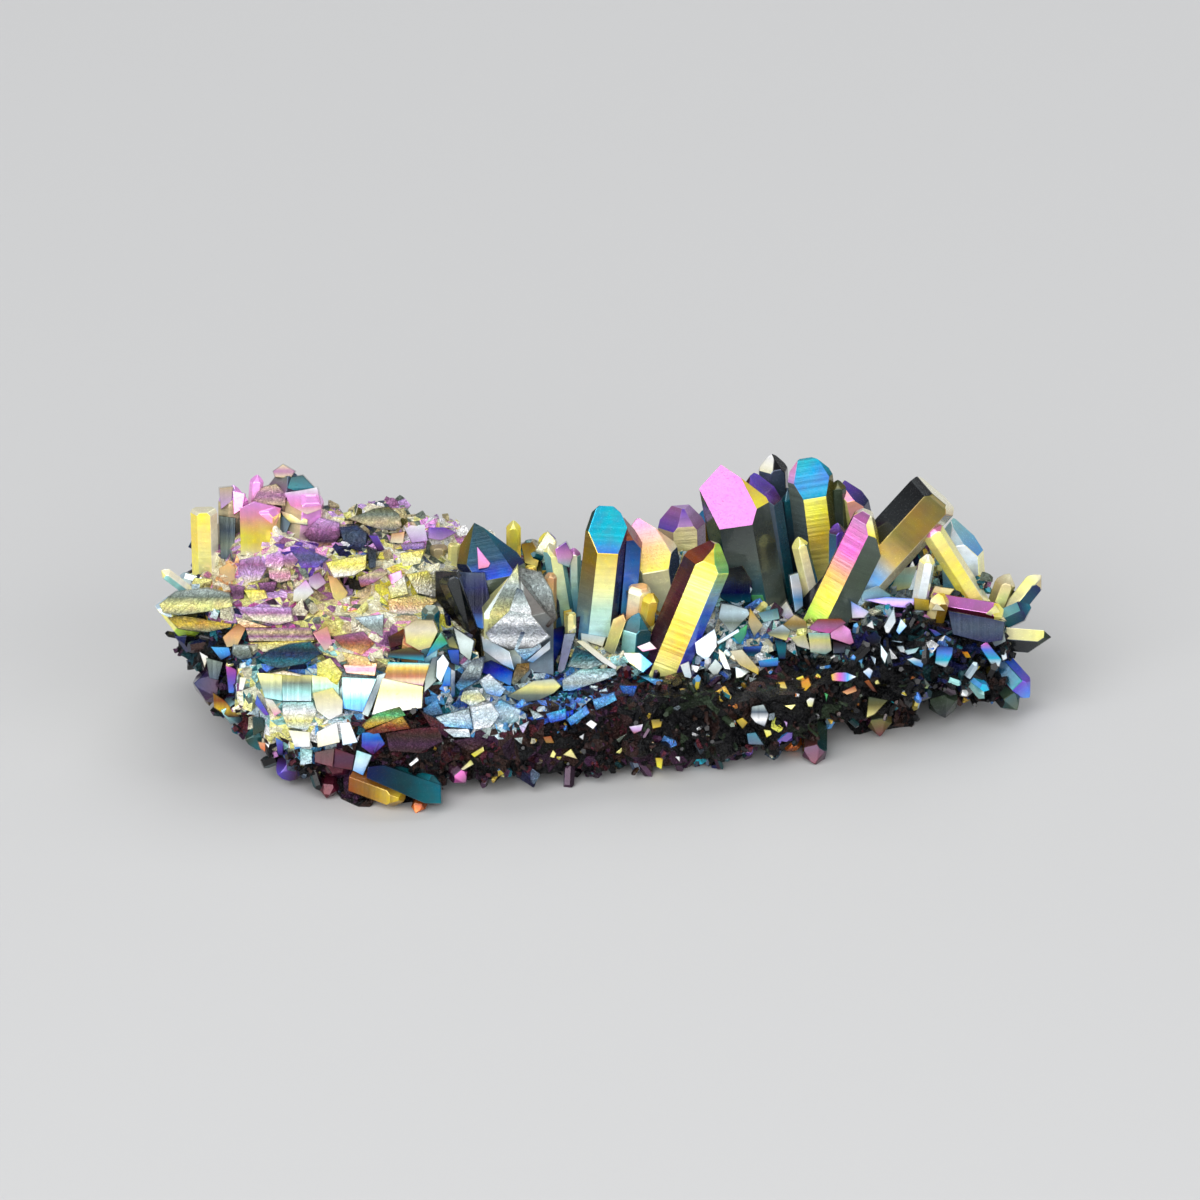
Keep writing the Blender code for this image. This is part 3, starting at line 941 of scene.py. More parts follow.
MIDDLE = CrystalStand(
    "middle_crystals",
    (
        Crystal((-18.7, 23, 30), (-18.3, 32.8, 31), 1.6, "straw", "straw>cream", blunt=1.0),
        Crystal((-20.6, 23, 31), (-20.3, 32.9, 32), 2.3, "beige", "beige>olive", blunt=1.0),
        Crystal((-10.7, 13, 19), (-14.7, 34.9, 24), 8.4,
                "olive>ochre>olive | pine>pine>teal>navy>blue | teal>navy",
                "graphite>navy>blue | sage>shale>sage | sage", deep=0.8, turn=5, end=End.LOPPED),
        Crystal((-13.6, 16, 19), (-19.4, 29.6, 20), 3.4, "graphite",
                "graphite>black | graphite>black | slate>navy>ochre", turn=10, blunt=0.9, lines=0.15),
        Crystal((-10.4, 11, 16), (-10.4, 29.2, 16.5), 10.1, "straw>sage | grey>silver | grey>brown>grey",
                "straw>cream | straw>silver>slate | grey>slate>ice", deep=0.85, turn=35),
        Crystal((-8.7, 18, 23), (-8.7, 29.9, 24), 1.5, "yellow>gold", "gold>white", blunt=0.9),
        Crystal((-6.3, 21, 23), (-6.2, 28.8, 24), 1.6, "peach>beige", "peach>beige", blunt=0.5),
        Crystal((-10.9, 24, 33), (-10.9, 35.2, 33), 1.9, "straw>yellow", "yellow>sage"),
        Crystal((-6.9, 23, 34), (-6.6, 33.9, 34), 2.4, "yellow | violet>plum | violet", "straw>sage",
                turn=15),
        Crystal((-4.0, 20, 25), (-6.0, 32.2, 26), 2.7, "cream>straw", "aqua>sky | straw>aqua | aqua>teal",
                turn=12, end=End.RIGHT),
        Crystal((-3.1, 20, 26), (-3.3, 31.8, 27), 1.8, "orchid>mauve", "ice>aqua | cream>aqua>sky | aqua"),
        Crystal((-3.7, 16, 19), (-3.7, 24.0, 20), 1.4, "straw>gold", "straw>cream", blunt=0.9),
        Crystal((-1.5, 13, 20), (1.1, 36.5, 23), 5.4, "pine>moss | cyan>cyan>cyan>azure | azure>maroon",
                "olive>ochre>sage>sky | straw>gold>straw>aqua>ice | maroon>navy>slate", deep=0.8, turn=12,
                end=End.TALL, lines=0.55),
        Crystal((2.4, 19, 24), (3.7, 35.2, 25), 4.2, "maroon>rust", "navy | navy>azure>sky | brown>navy",
                turn=25, end=End.RIGHT),
        Crystal((8.2, 18, 28), (5.8, 35.2, 29), 6.9, "pink>peach | orchid>peach>yellow | pink>peach>cream",
                "cream>aqua | straw>cream>aqua | slate>navy", turn=8, end=End.BROAD),
        Crystal((4.0, 17, 21), (5.2, 28.0, 21.5), 3.3, "peach>cream", "cream>peach | straw>beige", turn=30,
                blunt=0.8),
        Crystal((4.6, 15, 19), (6.6, 26.2, 19.5), 2.3, "gold>yellow", "gold>straw | gold>ochre | ochre",
                turn=20, blunt=0.4),
        Crystal((3.8, 12, 17), (4.9, 23.8, 18), 4.1, "teal>pine", "aqua>teal | teal>pine | pine>teal",
                turn=28),
        Crystal((10.6, 24, 36), (10.2, 38.1, 38), 6.1, "mauve>violet | violet>mauve>lilac | lilac>mauve",
                "beige>mauve | beige>straw | mauve>slate", turn=10, blunt=0.45, lines=1.2),
        Crystal((5.6, 11, 16), (14.8, 33.0, 20), 6.2, "maroon>rust | gold>yellow | lime>green",
                "brown>maroon>brown>plum | yellow>straw>yellow>gold>straw | lime>azure>blue>violet",
                deep=0.85, turn=2, blunt=0.3, lines=1.2),
        Crystal((-1.0, 23, 38), (0.4, 33.6, 41), 3.4, "cream>lilac", "lilac>sage", turn=14),
        Crystal((-14.0, 22, 38), (-15.6, 31.8, 42), 3.3, "straw>lilac", "sage>teal", turn=6),
    ),
)
RIGHT = CrystalStand(
    "right_crystals",
    (
        Crystal((20.8, 17, 32), (16.2, 41.9, 35), 8.4, "rose | rose | gold>yellow",
                "moss>pine>moss | shale>graphite>shale>teal | shale>graphite>sage", deep=0.85, turn=-5,
                end=End.BROAD, lines=0.3),
        Crystal((23.0, 22, 36), (20.0, 41.1, 38.5), 4.9, "plum>maroon | violet>maroon | violet>violet>plum",
                "moss | slate>pine | slate>teal", turn=5, end=End.RIGHT),
        Crystal((28.8, 23, 38), (26.2, 43.0, 40), 5.8, "pink>lilac | cyan>azure>cyan | cyan>teal",
                "sage>slate | straw>yellow>gold>straw | olive>moss", turn=8, end=End.FRONT, blunt=0.2,
                lines=1.2),
        Crystal((22.6, 27, 42), (21.8, 43.8, 43), 3.9, "white>cream | black | black",
                "slate | slate>black | black", turn=20),
        Crystal((30.6, 27, 39), (30.0, 40.4, 40), 2.1, "moss>olive", "moss>shale"),
        Crystal((34.4, 27, 40), (31.4, 40.1, 41), 4.0, "straw>cream | peach>pink | violet>navy",
                "straw>olive | peach>pink>cream | navy", turn=10, end=End.RIGHT),
        Crystal((28.2, 20, 31), (24.9, 33.2, 33), 2.3, "straw",
                "straw>cream | straw>cream>white | teal>navy", turn=20),
        Crystal((30.0, 26, 36), (30.0, 35.0, 37), 2.4, "violet>plum", "slate>sky | violet>slate | plum",
                turn=25),
        Crystal((24.8, 15, 26), (35.2, 36.4, 30), 6.2, "cream>peach | mauve>magenta | cream>yellow>gold",
                "plum | mauve>magenta>magenta>gold>yellow>lime>sage | shale>moss>shale>sage", deep=0.85,
                turn=26, end=End.RIGHT, blunt=0.3, lines=0.5),
        Crystal((27.8, 22.5, 30), (44.8, 41.1, 34), 7.3, "black>graphite | olive>ochre | cream>beige",
                "black>graphite>black | olive>ochre>olive>gold>sky>ice | ochre>cream", deep=0.85, turn=9,
                blunt=1.0, lines=0.4),
        Crystal((49.4, 22, 33), (41.0, 35.0, 31.5), 3.0, "orchid>pink",
                "straw>yellow | straw>yellow>straw | straw>cream", turn=20, blunt=0.4),
        Crystal((46.4, 22, 36), (45.5, 35.3, 38), 5.6, "aqua>ice | white>ice | aqua>sky",
                "white>aqua>sky | white>ice>cream | cream>straw>sage", turn=14, end=End.RIGHT),
        Crystal((39.4, 20, 29), (41.4, 31.0, 29), 2.1, "white>straw", "cream>white | white>ice | ice",
                turn=10, blunt=0.3),
        Crystal((42.0, 24.6, 31), (51.6, 23.0, 29), 3.2, "straw>yellow",
                "mauve>rust | rose>mauve>rose | maroon", turn=15, blunt=0.5),
        Crystal((41.6, 20, 28), (43.2, 26.2, 27.5), 2.7, "gold>beige", "beige>straw | gold>cream | ochre",
                turn=20, blunt=0.4),
        Crystal((43.0, 21.6, 29), (51.8, 20.9, 26.5), 3.2, "pine>graphite",
                "slate>pine | navy>slate>navy | black", turn=10, blunt=0.4),
        Crystal((48.6, 20, 34), (51.8, 28.6, 36), 2.8, "cream>beige",
                "beige>olive | beige>straw>sage | olive", turn=10),
        Crystal((50.0, 21, 34), (55.9, 28.4, 36), 2.9, "cream>straw | cream>sage | beige",
                "straw>cream | sage>straw>cream | navy>teal", turn=22),
        Crystal((47.6, 21, 31), (54.8, 24.3, 32), 2.9, "teal>navy", "teal>aqua | navy>teal | navy", turn=18,
                blunt=0.3),
        Crystal((46.4, 20.4, 29), (57.0, 19.6, 28), 3.4, "graphite>moss",
                "straw>cream | graphite>slate | graphite>black", turn=12, end=End.LEFT),
        Crystal((49.0, 18.5, 28), (54.4, 12.4, 24), 3.6, "azure>violet",
                "violet>azure>blue | teal>navy | plum", turn=16),
        Crystal((48.6, 16, 28), (52.8, 11.0, 22.5), 3.1, "moss>pine", "pine>moss | moss>pine | black",
                turn=10),
        Crystal((43.0, 17.5, 28), (43.3, 9.9, 20), 4.0, "graphite>moss",
                "moss>graphite | graphite>moss | black", turn=24, blunt=0.3),
        Crystal((35.0, 14, 23), (35.2, 7.6, 17.5), 3.3, "maroon>olive", "olive>maroon | moss>maroon | plum",
                turn=12),
        Crystal((28.0, 12, 19), (23.2, 5.9, 12.6), 2.6, "rust>orange", "rust>brown | rust | brown", turn=8),
        Crystal((27.0, 10, 17), (26.9, 4.2, 9.6), 3.4, "maroon>plum",
                "pine>moss | maroon>moss | moss>maroon", turn=20, blunt=0.2),
    ),
)
BACK = CrystalStand(
    "back_crystals",
    (
        Crystal((-47.0, 25, 36), (-50.6, 33.6, 43), 4.2, "pink>peach",
                "straw>sage | sage>teal | peach>straw", turn=10),
        Crystal((-36.0, 26, 40), (-38.6, 34.0, 49), 4.6, "cyan>azure",
                "gold>straw | straw>sage | azure>teal", turn=15),
        Crystal((-25.0, 24, 40), (-25.6, 33.4, 48), 5.3, "orchid>lilac",
                "slate>shale | shale>moss | gold>straw", turn=22, end=End.BACK),
        Crystal((-7.0, 22, 42), (-7.6, 31.6, 49), 5.1, "gold>yellow", "teal>navy | azure>sky | straw>cream",
                turn=12, end=End.BACK),
        Crystal((5.0, 23, 43), (5.6, 33.6, 49), 4.2, "violet>azure", "mauve>slate | gold>ochre | sage>teal",
                turn=5),
        Crystal((14.6, 24, 44), (14.0, 37.2, 47), 5.8, "teal>azure",
                "gold>straw>sage | ochre>gold | shale>teal", turn=15, end=End.BACK),
        Crystal((33.0, 25, 46), (34.4, 35.8, 50), 5.4, "orchid>pink>peach",
                "moss>shale | shale | violet>plum", turn=24),
        Crystal((42.0, 24, 42), (44.6, 33.2, 47), 4.1, "straw>yellow", "gold>sage>sky | straw | aqua>teal",
                turn=12),
        Crystal((25.4, 24, 41), (23.6, 39.4, 42), 2.8, "slate>teal", "slate>pine | teal>slate>pine | navy",
                turn=10),
    ),
)
STANDS = (LEFT_SIDE, LEFT_FRONT, MIDDLE, RIGHT, BACK)


@dataclass(frozen=True)
class Shard:
    """A broken block of the crust: its front's outline on the drawing, in dots, and its wash of colour."""

    outline: str
    wash: str
    rise: float = 0.5  # how far its front stands before the rock, in mm
    across: bool = False  # the wash runs to the right, and not down
    lines: float = 0.3  # depth of its growth lines


SMOOTH_SHARDS = (
    # the blocks at the top left
    Shard("217,487 230,485 229,500 218,508", "beige>lilac"),
    Shard("230,490 242,493 240,508 231,514", "orchid>pink", rise=0.8),
    Shard("217,515 233,517 233,560 218,558", "sage>slate>sage>slate", lines=1.2),
    Shard("239,507 253,501 278,508 273,533 264,553 239,556", "orchid>pink>peach>yellow>yellow>cream",
          rise=1.2),
    Shard("278,513 288,522 283,535 274,537", "pine>slate"),
    Shard("278,510 305,518 305,525 283,521", "cream>straw>slate"),
    Shard("282,492 315,487 320,508 305,514 288,505", "white>orchid>pink>cream", rise=1.0),
    Shard("270,470 280,463 292,470 288,477 272,476", "beige>mauve>beige"),
    Shard("288,476 300,474 312,487 283,491", "pine>teal"),
    # the crust's clean breaks
    Shard("217,568 227,562 233,567 233,580 223,583 217,577", "peach>beige"),
    Shard("308,577 318,572 325,583 315,590 307,585", "mauve>lilac>white", rise=0.9),
    Shard("293,590 305,580 313,592 303,602 292,602", "orchid>white>cream", rise=0.9),
    Shard("327,575 335,577 347,592 342,605 332,597", "peach>straw", rise=0.7),
    Shard("387,575 400,570 403,583 392,587", "orchid>pink"),
    Shard("402,525 423,523 427,540 410,542", "white>lilac"),
    Shard("427,527 443,527 455,532 440,540 427,538", "violet>lilac"),
    Shard("390,533 403,531 402,543 388,542", "peach>cream"),
    Shard("368,535 376,535 384,549 377,551", "violet>plum"),
    Shard("222,637 237,623 245,628 237,645 226,647", "rust>peach>beige"),
    Shard("343,665 377,663 375,676 346,673", "peach>mauve>peach"),
    Shard("313,633 327,627 333,645 325,652", "peach>pink>cream"),
    # the striped walls below the crust
    Shard("257,673 282,674 283,701 265,698", "straw>sage>aqua", lines=1.4),
    Shard("282,674 311,675 312,701 283,701", "straw>sage>aqua>ice", lines=1.4),
    Shard("311,675 339,679 339,701 312,701", "straw>aqua>cream", lines=1.4),
    Shard("342,677 377,678 363,712 343,708", "aqua>ice>sky>azure", rise=0.9, lines=1.6),
    Shard("378,675 386,673 369,717 362,714", "silver>slate>silver", rise=1.1),
    Shard("388,662 430,663 423,686 383,679", "cyan>gold>ochre>rust>beige>mauve", rise=1.3, lines=0.9),
    Shard("383,678 423,687 422,708 398,712 372,715", "cream>straw>cream>white", rise=1.3),
    Shard("388,652 410,647 424,654 424,661 388,657", "olive>brown>cyan", rise=1.2),
    Shard("405,627 416,620 433,620 438,631 431,647 419,650 406,642", "beige>cream>straw>beige", rise=2.2),
    Shard("388,637 405,628 407,643 390,648", "rust>brown>maroon", rise=1.4),
    Shard("439,629 447,644 423,659 431,647", "aqua>green>cyan>blue", rise=1.8),
    Shard("453,627 474,641 470,661 460,653", "grey>silver>sage", rise=0.8),
    Shard("447,640 453,636 459,649 449,647", "sage>straw"),
    Shard("447,650 459,650 459,666 451,663", "blue>navy"),
    Shard("443,654 449,663 441,683 436,677 437,661", "white>ice", rise=1.0),
    Shard("446,664 451,669 450,686 442,687", "azure>sky>blue", rise=0.9),
    Shard("432,658 442,655 437,680 424,693 425,678", "slate>sage>silver", rise=0.6),
    # the lower left
    Shard("313,693 333,688 343,700 343,713 330,720 317,710", "straw>cream>white", rise=0.9),
    Shard("288,730 310,732 310,747 295,747", "cream>white", rise=0.7),
    Shard("317,732 337,722 340,742 318,747", "white>cream", rise=0.8),
    Shard("340,723 350,722 358,742 343,745", "white>ice", rise=0.8),
    Shard("315,752 335,748 333,767 315,762", "brown>maroon", rise=0.8),
    Shard("335,748 355,755 352,770 333,767", "maroon>plum>maroon", rise=0.8),
    Shard("357,750 372,755 363,775 353,770", "aqua>ice>sky", rise=0.8),
    Shard("363,732 373,733 380,742 375,753", "azure>violet>navy"),
    Shard("225,665 237,670 233,693 228,693", "magenta>violet>azure", rise=0.8),
    Shard("240,677 247,678 243,690 239,690", "cream>white", rise=0.9),
    Shard("205,658 222,662 217,680 208,678", "sage>slate", rise=0.8),
    Shard("210,647 228,647 230,655 220,660", "sky>azure>navy", rise=0.7),
    Shard("198,652 207,657 203,667", "white>cream"),
    Shard("257,695 270,715 265,715 255,703", "azure>violet"),
    Shard("265,698 273,700 282,712 275,716", "white>cream>pink"),
    Shard("252,717 263,717 265,730 253,735", "pine>moss"),
    Shard("275,737 283,742 283,755 278,755", "azure>violet>navy"),
    Shard("258,742 267,743 265,752 260,748", "peach>orange"),
    Shard("212,693 223,700 240,717 227,717 213,707", "ochre>rust>gold>brown", lines=1.2),
    # round the two middle crystals
    Shard("484,663 491,660 513,671 511,686 500,681 480,671", "navy>blue>azure"),
    Shard("481,636 491,641 509,651 514,670 500,663 483,650", "white>ice>white>sky", rise=1.2),
    Shard("543,647 550,641 550,649 533,663 526,661", "ice>white>sky", rise=1.0),
    Shard("507,696 534,681 554,679 561,686 554,693 540,700 524,703", "silver>straw>sage>slate", rise=1.1),
    Shard("554,629 564,626 563,643 551,677", "navy>blue>navy>teal", rise=0.7),
    Shard("564,634 576,633 573,643 564,674 556,677", "slate>navy>slate", rise=0.9),
    Shard("564,611 571,609 577,627 570,633 564,626", "gold>straw>white", rise=1.0),
    Shard("576,641 584,641 617,667 616,670 603,663", "cream>white", rise=1.3),
    Shard("581,633 606,637 603,647 581,639", "ice>cream", rise=0.8),
    Shard("604,649 614,619 623,614 626,621 614,656", "peach>straw>sage", rise=0.8),
    Shard("637,647 650,642 657,649 643,652", "white>pink", rise=1.0),
    Shard("623,653 640,653 653,664 643,673 629,663", "white>straw>sky>azure", rise=0.9, across=True),
    # the silvery blocks between the right crystals
    Shard("723,602 733,605 747,607 751,614 739,627 732,633 719,617", "silver>ice>sage>silver", rise=1.2),
    Shard("751,609 764,625 755,637 749,622", "gold>beige>sage", rise=1.0),
    Shard("732,635 748,625 747,634 741,645", "green>teal", rise=0.8),
    Shard("732,638 745,637 744,645 736,644", "cyan>sky"),
    Shard("717,642 739,629 740,632 719,645", "ice>silver", rise=1.2),
    Shard("695,643 715,629 717,637 717,647 707,661 697,654", "silver>white>ice", rise=1.2),
    Shard("752,595 764,595 767,605 756,611", "green>sage", rise=0.4),
    Shard("759,613 779,609 781,619 765,623", "teal>aqua", rise=0.5),
    Shard("780,610 788,601 796,615 785,621", "cream>white>lilac", rise=0.9),
    Shard("784,625 796,615 807,621 809,630 793,631", "beige>ochre>sage", rise=0.9),
    Shard("768,633 784,625 792,631 788,641 771,636", "ice>sage>straw", rise=0.8),
    Shard("811,627 820,619 843,619 848,623 831,634 812,630", "rust>mauve>magenta", rise=1.3),
    Shard("832,633 844,624 852,630 856,643 852,645 833,639", "pink>orchid>pink", rise=1.2),
    Shard("809,633 831,634 833,651 827,655 812,653", "aqua>straw>cream>aqua", rise=1.2),
    Shard("835,641 853,646 848,653 835,654", "brown>slate", rise=0.7),
    Shard("791,638 807,635 811,650 799,647", "straw>cream>white", rise=0.8),
    Shard("744,647 763,646 760,657 747,656", "azure>navy>teal"),
    Shard("759,661 779,658 779,666 761,668", "cyan>azure>navy", rise=0.7),
    Shard("776,639 788,643 787,659 780,659", "navy>teal>navy", rise=0.7),
    Shard("731,651 743,650 753,661 760,669 759,675 740,665", "cream>beige>gold", rise=1.0),
    Shard("736,667 759,675 742,678 737,682", "ice>cream"),
    Shard("708,669 716,659 723,667 716,678", "silver>grey", rise=0.9),
    Shard("719,649 725,654 731,670 725,669 720,659", "cream>white", rise=0.9),
    Shard("681,665 689,662 693,679 685,677", "white>ice", rise=0.7),
    Shard("692,665 700,667 697,673 692,671", "white"),
    # the bright points of the right-hand druse
    Shard("852,601 871,612 866,618 854,618", "sky>white", rise=0.9),
    Shard("868,626 874,621 876,629", "white", rise=0.8),
    Shard("886,626 896,609 898,621 891,633 888,633", "ice>white", rise=1.1),
    Shard("898,631 903,619 909,626 901,635", "ice>azure", rise=0.9),
    Shard("894,641 922,626 923,629 903,643 886,640", "aqua>azure>ice", rise=1.1),
    Shard("867,637 876,631 883,637 881,644 873,645", "navy>black"),
    Shard("931,629 938,631 944,635 938,637", "violet>azure", rise=0.7),
    Shard("899,647 905,646 908,653 902,652", "ice>white", rise=0.8),
    Shard("906,651 921,647 917,653 909,655", "aqua>ice", rise=0.8),
    Shard("921,651 936,648 935,655 928,661 922,655", "azure>cyan>aqua", rise=1.0),
    Shard("908,660 916,658 926,662 924,668 917,666", "white>sky>azure", rise=1.0),
    Shard("938,648 944,646 955,648 954,656 948,668 937,664", "navy>azure>cyan>white", rise=1.1),
    Shard("964,652 970,652 974,659 968,658", "orange>gold", rise=0.8),
    Shard("976,667 983,667 976,676", "yellow", rise=0.8),
    Shard("983,646 989,642 1004,661 1002,667 995,666 984,651", "magenta>azure>cyan>white", rise=1.0),
    Shard("1003,653 1009,653 1010,659 1006,661", "ice>white", rise=0.8),
    Shard("989,632 1006,628 1009,641 998,647", "slate>silver>slate", rise=0.8),
    Shard("988,615 999,605 1009,621", "straw>cream", rise=0.8),
    Shard("882,645 889,654 886,664 882,656", "ice>silver", rise=0.8),
    Shard("872,656 877,658 876,665", "ice", rise=0.8),
    Shard("864,672 870,668 874,671 871,679", "white>sky", rise=0.8),
    Shard("859,661 864,659 863,664", "sky", rise=0.7),
    Shard("832,675 837,673 848,673 857,677 848,682 833,681", "gold>magenta>azure>white", rise=1.0,
          across=True),
    Shard("922,680 926,678 932,686 928,691", "sage>silver>lime", rise=0.8),
    Shard("865,682 870,680 878,693 874,692", "rust>brown"),
    Shard("843,692 856,686 858,691 848,695", "rust>peach"),
    Shard("876,682 879,680 881,684 877,685", "straw", rise=0.7),
    Shard("869,697 889,701 875,715 868,718", "moss>olive>straw", rise=1.1),
    # the low crystals at the right end
    Shard("952,611 991,618 1008,622 1006,640 989,643 955,634", "navy>slate>navy", rise=1.5, lines=0.6),
    Shard("866,600 890,597 917,599 916,609 896,607", "azure>lilac>violet", rise=1.0),
    Shard("917,598 932,600 932,611 917,610", "gold>olive", rise=1.0),
    Shard("934,610 939,603 947,611", "cream", rise=1.0),
    Shard("938,586 958,589 947,602 932,598", "beige>gold", rise=0.8),
    Shard("792,575 800,573 804,590 805,606 797,613", "ice>white>sky>ice", rise=0.8),
    Shard("911,571 916,560 922,573 923,590 912,590", "white>ice", rise=0.6),
    # the dark slab that lies below the ridge
    Shard("369,767 385,765 441,785 442,803 425,803 400,792 367,778", "navy>pine>teal", rise=1.4, across=True,
          lines=0.6),
    # facets behind and beside the middle crystals
    Shard("521,543 532,541 540,553 537,567 524,562", "ochre>gold>straw", rise=0.7),
    Shard("535,550 547,531 556,541 553,557 543,565", "straw>cream>aqua", rise=0.8),
    Shard("555,549 566,542 573,556 569,567 558,563", "violet>orchid>aqua", rise=0.8),
    Shard("477,547 490,563 488,567 478,569", "orchid>pink", rise=0.3),
    Shard("434,571 456,571 476,632 472,638 446,614 435,598", "graphite>black>black>brown", rise=0.5,
          lines=0.2),
    Shard("458,572 484,572 491,604 482,629 477,627", "slate>navy>black>navy>azure", rise=0.4, lines=0.3),
    # the ridge's blue end
    Shard("362,733 378,731 385,744 373,755 362,747", "azure>blue>violet>maroon", rise=0.8, lines=0.8),
    # the dark foot of the great crystal, and the pale pieces that lean on it
    Shard("722,570 744,566 753,582 752,602 735,606 721,598", "black>graphite>navy>teal", rise=0.7, lines=0.5),
    Shard("893,592 902,569 921,565 913,588", "cream>aqua>straw", rise=0.8),
    Shard("862,592 880,586 893,596 880,603 864,602", "silver>aqua>ice", rise=0.8),
    # glints in the dark rock
    Shard("802,682 809,678 812,685 805,693 803,691", "orange>gold", rise=0.8),
    Shard("777,683 785,682 788,689 779,690", "gold>straw", rise=0.8),
    Shard("752,707 764,705 769,715 765,727 756,723 751,717", "silver>slate>white>slate", rise=0.9, lines=1.4),
    Shard("764,730 771,731 772,735 767,738", "straw>yellow", rise=0.7),
    Shard("736,721 743,718 748,723 743,729", "gold>ochre", rise=0.7),
    Shard("784,721 788,723 787,727", "lilac", rise=0.7),
    Shard("785,706 796,705 792,710", "straw", rise=0.7),
    Shard("807,701 811,698 815,699 813,707 809,707", "white>straw", rise=0.7),
    Shard("825,693 829,695 827,701", "green", rise=0.6),
    Shard("747,734 756,733 764,745 749,745", "teal>slate", rise=0.6),
    Shard("655,758 663,758 661,769 657,767", "gold>yellow", rise=0.7),
    Shard("675,757 680,757 680,762", "white", rise=0.6),
    Shard("471,754 483,746 484,751 474,757", "straw>yellow", rise=0.6),
    Shard("409,764 417,757 419,760 411,766", "white", rise=0.6),
    Shard("461,769 471,760 474,764 464,770", "straw>cream", rise=0.6),
    Shard("550,757 553,750 556,754 554,758", "straw", rise=0.6),
    Shard("563,755 571,749 577,759", "straw>beige", rise=0.6),
    Shard("586,724 591,720 597,724 593,729", "white", rise=0.7),
    Shard("629,727 643,724 641,731 634,734", "white>lilac>rust", rise=0.7),
    Shard("651,720 663,719 661,727 653,729", "olive>gold", rise=0.7),
    Shard("579,737 584,734 583,740", "white", rise=0.5),
    Shard("616,740 627,734 619,743", "sage", rise=0.5),
    Shard("616,753 623,747 624,749 620,754", "straw", rise=0.6),
    Shard("543,737 551,736 554,743 546,743", "rust>ochre", rise=0.6),
)
